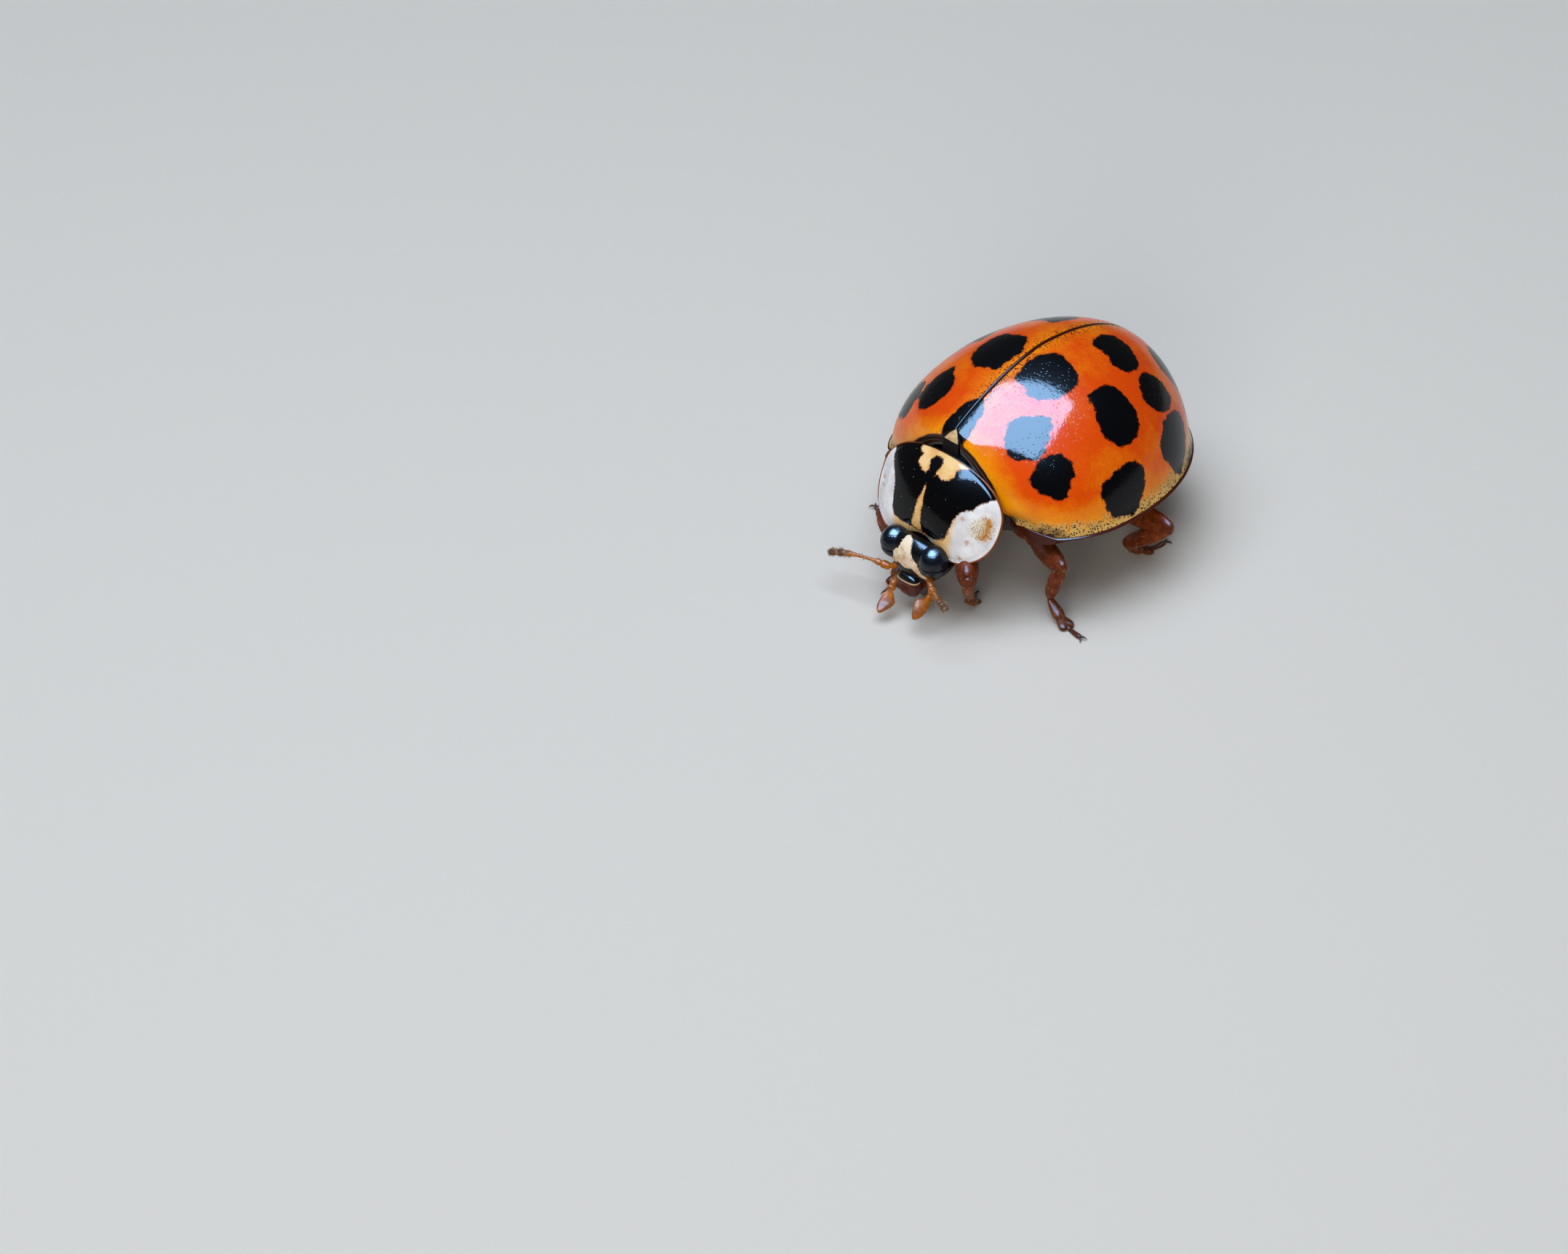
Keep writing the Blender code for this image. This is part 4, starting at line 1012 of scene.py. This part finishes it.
feeler_shell = amber_chitin("amber_chitin_feeler", "C87A1C", "8E4A10", "50382C", FEELER_CLOUDS)
feeler_grids = {}
for side in ("left", "right"):
    line = middle_line(f"antenna_{side}", box_mm(f"eye_{side}").mean(0))
    root = line(np.zeros(1))[0]
    socket = joint(straight(root + SOCKET_SHARE * (np.array(HEAD_CENTRE) - root), root), 0.0, 1.0,
                   SOCKET_WIDTHS, 0.9, (0.0, 0.0, 1.0), 4.0)
    grids, tips, start = [socket], [np.zeros(socket.shape[:2])], 0.0
    for index, (stop, half) in enumerate(ANTENNA_JOINTS):
        widths = (half * (0.75 if index > 1 else 0.85), half * 0.95, half, half * 0.95)
        flatness = 0.62 if index >= CLUB_START else 0.9
        grids.append(joint(line, start, min(1.0, stop + JOINT_LAP[0]), widths, flatness, ANTENNA_FLAT, 4.5))
        darkness = 0.85 if index > CLUB_START else 0.45 if index == CLUB_START else 0.0
        tips.append(np.full(grids[-1].shape[:2], darkness))
        start = stop
    feeler_grids[f"antenna_{side}"] = grids
    build_piece(f"antenna_joints_{side}", grids, feeler_shell, [f"antenna_{side}"], {"tip": tips})

    line = middle_line(f"palp_{side}", (lip_low + lip_high) / 2)
    grids, start = [], 0.0
    for stop, half in PALP_JOINTS[:-1]:
        grids.append(joint(line, start, stop + JOINT_LAP[1], (half * 0.75, half, half), 0.85, PALP_FLAT, 4.0,
                           14, 28))
        start = stop
    tips = [np.zeros(grid.shape[:2]) for grid in grids]
    half = PALP_JOINTS[-1][1]
    blade = joint(line, start, 1.0, (half * 0.36, half * 0.66, half * 0.95, half), 0.34, PALP_FLAT, 3.4,
                  24, 28)
    share = np.linspace(0, 1, 24)[:, None] + np.zeros(28)
    axis = (blade[-1, 0] - blade[0, 0]) / np.linalg.norm(blade[-1, 0] - blade[0, 0])
    inner = (blade[..., 0] - blade[..., 0].mean(1, keepdims=True)) * -np.sign(root[0])
    grids.append(blade - (BLADE_SLANT * inner * share ** 2)[..., None] * axis)
    tips.append(np.clip(share * 0.9 - 0.30, 0, 0.5))
    feeler_grids[f"palp_{side}"] = grids
    build_piece(f"palp_joints_{side}", grids, feeler_shell, [f"palp_{side}"], {"tip": tips})

# ---------------------------------------------------------------------------------------------
# Legs: six, each a hip joint tucked in the breast, a stout flattened thigh, a slimmer shin and a foot
# of four joints: a wedge, a two-lobed pad, a tiny hidden joint and a slender one with two claws.
LEG_NAMES = [f"{pair}_{side}" for pair in ("front", "middle", "hind") for side in ("left", "right")]
HIP_INWARD = 0.45             # where the hip joint starts, as a share of the hip's distance from the middle
HIP_RISE = 0.22
HIP_LAP = 0.10                # share of the thigh that the hip joint runs into
HIP_WIDTHS = (0.16, 0.20, 0.17)
COLLAR_WIDTHS = (0.14, 0.17, 0.13)
THIGH_PROFILE = (0.55, 0.85, 0.98, 1.00, 0.96, 0.86, 0.72)       # as shares of the solid's thickness
SHIN_PROFILE = (0.62, 0.78, 0.82, 0.80, 0.72, 0.58)
LEG_FLATNESS = (0.66, 0.72)      # of the thigh and the shin
LEG_BOW = (0.03, -0.02)
KNEE_RADIUS = 0.10
KNEE_LAP = (0.04, 0.05)       # shares of the thigh past which the shin and its knob start
FOOT_JOINTS = (               # from, to, half widths, flatness
    (0.00, 0.42, (0.070, 0.100, 0.125, 0.130), 0.70),
    (0.33, 0.64, (0.080, 0.130, 0.165, 0.160), 0.42),
    (0.52, 0.68, (0.035, 0.045, 0.045), 0.80),
    (0.58, 0.95, (0.038, 0.044, 0.052, 0.062), 0.85))
FOOT_BEND = 0.45              # share of the way to the toe where the foot's curve turns level
FOOT_SINK = 0.10              # how far below the floor that curve is drawn, to lie flat along it
TOE_SINK = 0.02
PAD_NOTCH = (0.12, 0.045)     # depth and half width of the notch between the pad's lobes
PAD_START = 0.45              # share of the pad behind which it is whole
CLAW_ROOT = 0.93              # share of the way along the foot
CLAW_LENGTH = 0.13
CLAW_WIDTHS = (0.028, 0.022, 0.014, 0.003)
CLAW_REACH = (0.75, 0.95)     # shares of its length to its knuckle and its point
CLAW_SPREAD = (0.05, 0.085)   # how far aside those stand
CLAW_RISE = 0.035
CLAW_TIP = 0.008              # height of its point above the floor
LEG_CLOUDS = 6.0              # to the millimetre
FOOT_CLOUDS = 9.0


def farthest(node, start):
    """The solid's vertex farthest from a point."""
    points = solid_points(node)
    return points[np.linalg.norm(points - start, axis=1).argmax()]


def curve(start, middle, end):
    """A quadratic curve that leaves start towards middle and arrives at end from it."""
    start, middle, end = (np.array(value, float) for value in (start, middle, end))
    return lambda t: (start * ((1 - t) ** 2)[:, None] + middle * (2 * t * (1 - t))[:, None]
                      + end * (t ** 2)[:, None])


def widest(node, start, end):
    """How far a limb's solid reaches from its own axis: the longest that a vertex's offset is once
    its part along the axis is taken off."""
    ahead = (end - start) / np.linalg.norm(end - start)
    offset = solid_points(node) - start
    return np.linalg.norm(offset - (offset @ ahead)[:, None] * ahead, axis=1).max()


leg_shell = amber_chitin("red_brown_chitin_leg", "80390F", "52210A", "2A140A", LEG_CLOUDS)
foot_shell = amber_chitin("brown_chitin_foot", "8C4A1C", "582A10", "34190C", FOOT_CLOUDS)
up = np.array((0.0, 0.0, 1.0))
leg_grids, foot_grids = {}, {}
for name in LEG_NAMES:
    # Each limb's ends are its solid's farthest points, starting from the shin, whose middle is plain
    shin_middle = solid_points(f"tibia_{name}").mean(0)
    hip = farthest(f"femur_{name}", shin_middle)
    knee = farthest(f"femur_{name}", hip)
    ankle = farthest(f"tibia_{name}", knee)
    toe = farthest(f"tarsus_{name}", ankle)
    plane = np.cross(knee - hip, ankle - knee)
    plane /= np.linalg.norm(plane)

    thick = widest(f"femur_{name}", hip, knee)
    thigh_line = straight(hip, knee, LEG_BOW[0])
    inward = hip * (HIP_INWARD, 1.0, 1.0) + (0.0, 0.0, HIP_RISE)
    hip_joint = joint(straight(inward, hip + HIP_LAP * (knee - hip)), 0.0, 1.0, HIP_WIDTHS, 0.9, plane, 2.4)
    collar = joint(thigh_line, 0.02, 0.20, COLLAR_WIDTHS, 0.85, plane, 2.4)
    thigh = joint(thigh_line, 0.06, 1.0, np.array(THIGH_PROFILE) * thick, LEG_FLATNESS[0], plane, 4.0,
                  30, 32)
    thigh_tip = np.zeros((30, 32)) + (np.linspace(0, 1, 30)[:, None] > 0.9) * 0.35
    plain = [np.zeros(grid.shape[:2]) for grid in (hip_joint, collar)]
    build_piece(f"thigh_{name}", [hip_joint, collar, thigh], leg_shell, [f"femur_{name}"],
                {"tip": [*plain, thigh_tip]})

    thick = widest(f"tibia_{name}", knee, ankle)
    shin_line = straight(knee + KNEE_LAP[0] * (hip - knee), ankle, LEG_BOW[1], plane)
    knob = ball(knee + KNEE_LAP[1] * (hip - knee), (KNEE_RADIUS,) * 3, 2.0, 16, 20)
    shin = joint(shin_line, 0.02, 1.0, np.array(SHIN_PROFILE) * thick, LEG_FLATNESS[1], plane, 5.0, 26, 26)
    shin_tip = np.zeros((26, 26)) + np.clip(np.linspace(-1.6, 0.6, 26), 0, 1)[:, None]
    build_piece(f"shin_{name}", [knob, shin], leg_shell, [f"tibia_{name}"],
                {"tip": [np.full((16, 20), 0.3), shin_tip]})

    # The foot's four joints along one curve, its pad notched in front, and its claws
    sole_bend = ankle + FOOT_BEND * (toe - ankle)
    sole_bend[2] = -FOOT_SINK
    foot_line = curve(ankle, sole_bend, toe - (0, 0, TOE_SINK))
    grids = [joint(foot_line, root, stop, widths, thin, up, 3.0, 18, 22)
             for root, stop, widths, thin in FOOT_JOINTS]
    pad_share = np.linspace(0, 1, 18)[:, None]
    ahead = (toe - ankle) * (1, 1, 0) / np.linalg.norm((toe - ankle)[:2])
    aside = np.cross(ahead, up)
    reach = (grids[1] - foot_line(np.array([0.5]))) @ aside
    notch = np.clip((pad_share - PAD_START) / (1 - PAD_START), 0, 1) * np.exp(-(reach / PAD_NOTCH[1]) ** 2)
    grids[1] = grids[1] - (notch * PAD_NOTCH[0])[..., None] * ahead
    base = foot_line(np.array([CLAW_ROOT]))[0]
    for hook in (-1.0, 1.0):
        knuckle = base + ahead * CLAW_LENGTH * CLAW_REACH[0] + aside * hook * CLAW_SPREAD[0]
        knuckle = knuckle + up * CLAW_RISE
        point = base + ahead * CLAW_LENGTH * CLAW_REACH[1] + aside * hook * CLAW_SPREAD[1]
        point[2] = CLAW_TIP
        grids.append(joint(curve(base, knuckle, point), 0.0, 1.0, CLAW_WIDTHS, 0.8, aside, 4.0, 12, 10))
    for grid in grids:
        grid[..., 2] = np.maximum(grid[..., 2], 0.0)
    tips = [np.full(grid.shape[:2], 0.25 + 0.15 * min(index, 4)) for index, grid in enumerate(grids)]
    build_piece(f"foot_{name}", grids, foot_shell, [f"tarsus_{name}"], {"tip": tips})
    leg_grids[name] = [thigh, shin]
    foot_grids[name] = grids

# ---------------------------------------------------------------------------------------------
# Underside: the breast and belly are plates of dark brown chitin, jointed by fine seams, that fill
# the hollow below the wing cases. The belly is five overlapping plates with amber edges.
TRUNK_INSET = 0.58            # how far inside the wing cases it ends
FRONT_INSET = 0.45            # share by which that grows at the front
STERNUM_DEPTH = 0.50
STERNUM_MIDDLE = 0.3          # where it is deepest, and its half length
STERNUM_LENGTH = 3.2
TRUNK_COLUMNS = 160           # the first half of them above the rim, the second below
BREAST_BACK = 0.06
BREAST_HALF_WIDTH = 2.3
BELLY_HALF_WIDTH = 2.2
BREAST_SEAM = 0.03            # half width of the seams between its plates
SEAM_DEPTH = 0.04
SIDE_SEAM = 1.15              # distance from the middle of the seams along the breast
HIP_SEAM = -0.62              # place of the seam across it
BELLY_PLATES = (0.07, 0.80, 1.36, 1.84, 2.26, 2.62, 3.07)
PLATE_STEP = 0.035            # height of each plate's rear edge over the next
PLATE_SAG = 0.10              # how far back the plates' edges curve at the sides
AMBER_EDGE = 0.86             # share of a plate's length where its amber edge starts
NECK_WIDTH = 0.96             # share of its solid's
NECK_ROOM = 0.16              # between it and the pronotum's outer face
PLATE_EDGE = 0.26             # how far ahead of the pronotum's front its hold on the neck ends
PRESS_SOFTNESS = 0.04
UNDER_GRAINS = {"cloud": 3.0, "pits": 14.0}      # to the millimetre


def trunk_grid(first, last, rows):
    """The trunk between two places along Y: rings whose upper half is the cases' dome drawn in,
    and whose lower half is a half ellipse below the rim."""
    y = np.linspace(first, last, rows)[:, None]
    angle = np.linspace(0, 2 * np.pi, TRUNK_COLUMNS, endpoint=False)[None, :]
    astern = np.maximum(0.0, y - WIDEST_Y)
    length = CASE_BACK - WIDEST_Y
    shell_y = y + astern * (length / (length - TRUNK_INSET) - 1)
    ahead = np.maximum(0.0, CROWN_Y - y) / (CROWN_Y - CASE_FRONT)
    inset = TRUNK_INSET * (1 + FRONT_INSET * ahead ** 2)
    side = case_half_width(shell_y)
    width = np.maximum(0.01, side - inset * np.minimum(1.0, side / CASE_HALF_WIDTH * 2))
    height = np.where(y < CROWN_Y, np.maximum(0.01, crown_height(shell_y) - inset),
                      crown_height(shell_y) * (1 - TRUNK_INSET / case_high[2]))
    across, upward = np.cos(angle), np.sin(angle)
    depth = STERNUM_DEPTH * superellipse((y - STERNUM_MIDDLE) / STERNUM_LENGTH, 2.4)
    z = rim_height(y) + np.where(upward > 0, height * dome_rise(across), depth * upward)
    return np.stack([width * across, y + 0 * angle, z], axis=-1)


def close_ends(grid, bulge=0.0):
    """Adds a middle point before the first ring and after the last, so the ends are closed."""
    first = np.broadcast_to(grid[0].mean(0) - (0, bulge, 0), grid[:1].shape)
    last = np.broadcast_to(grid[-1].mean(0) + (0, bulge, 0), grid[:1].shape)
    return np.concatenate([first, grid, last])


def tuck_under_plate(points, room):
    """Presses points that would reach the pronotum down to room below its outer face, softly: the
    part p of an excess e that is taken off is half of e + sqrt(e^2 + softness^2)."""
    from_front = points - np.array(PLATE_FRONT)
    along, height = from_front @ PLATE_UP, from_front @ PLATE_OUT
    across = np.abs(points[..., 0] / PLATE_HALF_WIDTH)
    radius = np.hypot(across, (along - PLATE_CENTRE) / PLATE_AHEAD)
    limit = PLATE_BULGE * (1 - radius ** 2) - PLATE_DROOP * across ** 2.5 - room
    over = height - limit
    press = (over + np.sqrt(over ** 2 + PRESS_SOFTNESS ** 2)) / 2 * smooth_step(along, -PLATE_EDGE, 0.0)
    return points - press[..., None] * PLATE_OUT


# Dark brown chitin, less waxed than above: a dull gloss over coarse pits, amber where it thins at the
# flanks and the plates' edges
under_shell, tree, shader, where = new_material("brown_chitin_underside", Roughness=0.45, Coat_Weight=0.3,
                                                Coat_Roughness=0.2, Specular_IOR_Level=0.3)
cloud = add(tree, "TexNoise", {"Vector": where, "Scale": UNDER_GRAINS["cloud"], "Detail": 4.0})
grain = add(tree, "TexVoronoi", {"Vector": where, "Scale": UNDER_GRAINS["pits"]})
side = add(tree, "Attribute", out="Fac", attribute_name="flank")
patches = add(tree, "MapRange", (cloud, 0.35, 0.65))
tone = add(tree, "MixRGB", (patches, "2A130A", "150A07"))
amber = add(tree, "MixRGB", (patches, "A65A20", "7A3A14"))
colour = add(tree, "MixRGB", (add(tree, "MapRange", (side, 0.45, 0.85)), tone, amber))
pit_depth = add(tree, "MapRange", (grain, 0.05, 0.3, -1.0, 0.0))
relief = add(tree, "Bump", {"Height": pit_depth, "Distance": 6 * MICRON})
relief = add(tree, "Bump", {"Height": cloud, "Distance": 15 * MICRON, "Normal": relief})
dress(tree, shader, colour, relief)

belly = trunk_grid(BELLY_PLATES[0], BELLY_PLATES[-1], 150)
sag = PLATE_SAG * (belly[..., 0] / BELLY_HALF_WIDTH) ** 2
plate_place = np.interp(belly[..., 1] + sag, BELLY_PLATES, range(len(BELLY_PLATES))) % 1.0
lower = np.clip((rim_height(belly[..., 1]) - belly[..., 2]) / 0.15, 0.0, 1.0)
belly[..., 2] += lower * PLATE_STEP * (1 - plate_place ** 3)
flank = np.abs(belly[..., 0]) / np.abs(belly[..., 0]).max(1, keepdims=True)
flank = np.maximum(flank * 1.05, (plate_place > AMBER_EDGE) * 0.62)
belly_flank = np.concatenate([flank[:1], flank, flank[-1:]])
build_piece("belly_plates", [close_ends(belly, 0.02)], under_shell, ["abdomen"],
            {"flank": [belly_flank]})

breast = trunk_grid(CASE_FRONT + 0.03, BREAST_BACK, 120)
lower = np.clip((rim_height(breast[..., 1]) - breast[..., 2]) / 0.2, 0.0, 1.0)
aside = np.abs(breast[..., 0])
groove = np.exp(-(aside / BREAST_SEAM) ** 2) + np.exp(-((aside - SIDE_SEAM) / BREAST_SEAM) ** 2)
groove += np.exp(-((breast[..., 1] - HIP_SEAM + 0.10 * aside) / BREAST_SEAM) ** 2)
breast[..., 2] += lower * SEAM_DEPTH * np.minimum(groove, 1.0)
flank = aside / BREAST_HALF_WIDTH
breast_flank = np.concatenate([flank[:1], flank, flank[-1:]]) * 0.7
build_piece("breast_plates", [close_ends(breast)], under_shell, ["pterothorax"],
            {"flank": [breast_flank]})

neck_low, neck_high = box_mm("prothorax")
neck = ball((neck_low + neck_high) / 2, (neck_high - neck_low) / 2 * (NECK_WIDTH, 1.0, 1.0), 2.4, 60, 90)
neck = tuck_under_plate(neck, NECK_ROOM)
build_piece("neck_plates", [neck], under_shell, ["prothorax"],
            {"flank": [np.zeros(neck.shape[:2])]})

# ---------------------------------------------------------------------------------------------
# Setae: short stiff hairs of clear chitin, standing off the feelers, face, legs and underside and
# leaning towards each limb's tip. Each is a bent three-sided spike.
HAIR_RADIUS = 0.0032
HAIR_PATCH = 0.003           # across a hair's own patch of the texture map
FEELER_HAIRS = 320           # per antenna, most of them on the club
PALP_HAIRS = 90
THIGH_HAIRS = 220            # per leg, thigh and shin together
FOOT_HAIRS = 110
FACE_HAIRS = 200
BELLY_HAIRS = 1400
FACE_ROWS = slice(20, 100)   # of the head's grid, from the chin to the brow
HAIR_LENGTHS = {"antenna": 0.075, "palp": 0.060, "leg": 0.075, "foot": 0.065, "face": 0.055,
                "belly": 0.090}
HAIR_SPREAD = (0.6, 1.15)     # shortest and longest, as shares of the coat's length
HAIR_LEAN = 0.35              # how far hairs stray aside from their limb's direction
HAIR_MIDDLE = (0.38, 0.30)    # how far out and ahead its middle and its tip stand, as shares of its length
HAIR_TIP = (0.55, 0.80)
HAIR_POINTS = 7
HAIR_GRAINS = 7.0             # to the millimetre, so that whole hairs differ

# Clear chitin like fine fishing line: straw or brown by how thick the hair is, with a dull shine
seta, tree, shader, where = new_material("clear_chitin_seta", Roughness=0.5, Specular_IOR_Level=0.1)
tone = add(tree, "TexNoise", {"Vector": where, "Scale": HAIR_GRAINS, "Detail": 2.0})
colour = add(tree, "MixRGB", (add(tree, "MapRange", (tone, 0.42, 0.60)), "C4AE88", "84623A"))
dress(tree, shader, colour, add(tree, "Bump", {"Height": tone, "Distance": 1 * MICRON}))


def hair_coat(name, grids, count, length, seed):
    """Scatters hairs over grids of points, more where they are larger. A hair leaves its root
    outwards, bends over towards the next row of its grid and tapers from a triangle to a point.
    Its patch of the texture map lies at its root's column and row, one band of the map to a grid."""
    chance = np.random.default_rng(seed)
    sheets = []
    for number, grid in enumerate(grids):
        root, across, ahead = grid[:-1], np.roll(grid, -1, 1)[:-1] - grid[:-1], grid[1:] - grid[:-1]
        out = np.cross(across, ahead)
        out = out * np.sign((out * (root - grid.mean((0, 1)))).sum())
        row, column = np.indices(root.shape[:2])
        place = [column / root.shape[1], (number + row / root.shape[0]) / len(grids)]
        sheets.append(np.concatenate([root, across, ahead, out, np.stack(place, -1)], -1).reshape(-1, 14))
    sheets = np.concatenate(sheets)
    area = np.linalg.norm(sheets[:, 9:12], axis=1)
    sheet = sheets[chance.choice(len(sheets), count, p=area / area.sum())]
    root, across, ahead, out, place = np.split(sheet, (3, 6, 9, 12), axis=1)
    root = root + across * chance.random((count, 1)) + ahead * chance.random((count, 1))
    across, ahead, out = (way / np.linalg.norm(way, axis=1, keepdims=True) for way in (across, ahead, out))
    ahead = ahead + across * chance.normal(0.0, HAIR_LEAN, (count, 1))
    size = length * chance.uniform(*HAIR_SPREAD, (count, 1))
    middle = root + size * (HAIR_MIDDLE[0] * out + HAIR_MIDDLE[1] * ahead)
    tip = root + size * (HAIR_TIP[0] * out + HAIR_TIP[1] * ahead)
    turn = np.arange(3) * 2 * np.pi / 3
    ring = (across[:, None] * np.cos(turn)[:, None] + out[:, None] * np.sin(turn)[:, None]) * HAIR_RADIUS
    ring = ring + ahead[:, None] * np.sin(turn)[:, None] * -0.6 * HAIR_RADIUS
    points = np.concatenate([root[:, None] + ring, middle[:, None] + 0.7 * ring, tip[:, None]], axis=1)
    points[..., 2] = np.maximum(points[..., 2], 0.0)
    first = HAIR_POINTS * np.arange(count)[:, None, None]
    sides = first + np.array([(0, 1, 4, 3), (1, 2, 5, 4), (2, 0, 3, 5)])
    ends = first + np.array([(3, 4, 6), (4, 5, 6), (5, 3, 6), (2, 1, 0)])
    mesh = bpy.data.meshes.new(name)
    mesh.from_pydata((points.reshape(-1, 3) / 1000.0).tolist(), [],
                     sides.reshape(-1, 4).tolist() + ends.reshape(-1, 3).tolist())
    mesh.shade_smooth()
    corner = np.zeros(len(mesh.loops), np.int32)
    mesh.loops.foreach_get("vertex_index", corner)
    spread = np.array([(0, 0), (1, 0), (2, 0), (0, 1), (1, 1), (2, 1), (1, 2)]) * HAIR_PATCH / 2
    chart = mesh.uv_layers.new(name="OFBake")
    patch = place[corner // HAIR_POINTS] + spread[corner % HAIR_POINTS]
    chart.data.foreach_set("uv", patch.astype(np.float32).reshape(-1))
    place_piece(name, mesh, seta, [])


for number, side in enumerate(("left", "right")):
    antenna, palp = feeler_grids[f"antenna_{side}"], feeler_grids[f"palp_{side}"]
    hair_coat(f"antenna_hairs_{side}", antenna[2:] + 2 * antenna[9:], FEELER_HAIRS, HAIR_LENGTHS["antenna"],
              11 + number)
    hair_coat(f"palp_hairs_{side}", palp, PALP_HAIRS, HAIR_LENGTHS["palp"], 13 + number)
for number, name in enumerate(LEG_NAMES):
    hair_coat(f"leg_hairs_{name}", leg_grids[name], THIGH_HAIRS, HAIR_LENGTHS["leg"], 21 + number)
    hair_coat(f"foot_hairs_{name}", foot_grids[name][:len(FOOT_JOINTS)], FOOT_HAIRS, HAIR_LENGTHS["foot"],
              31 + number)
hair_coat("face_hairs", [head_grid[FACE_ROWS]], FACE_HAIRS, HAIR_LENGTHS["face"], 41)
low_belly, low_breast = (grid[:, TRUNK_COLUMNS // 2:] for grid in (belly, breast))
hair_coat("belly_hairs", [low_belly, low_breast], BELLY_HAIRS, HAIR_LENGTHS["belly"], 42)
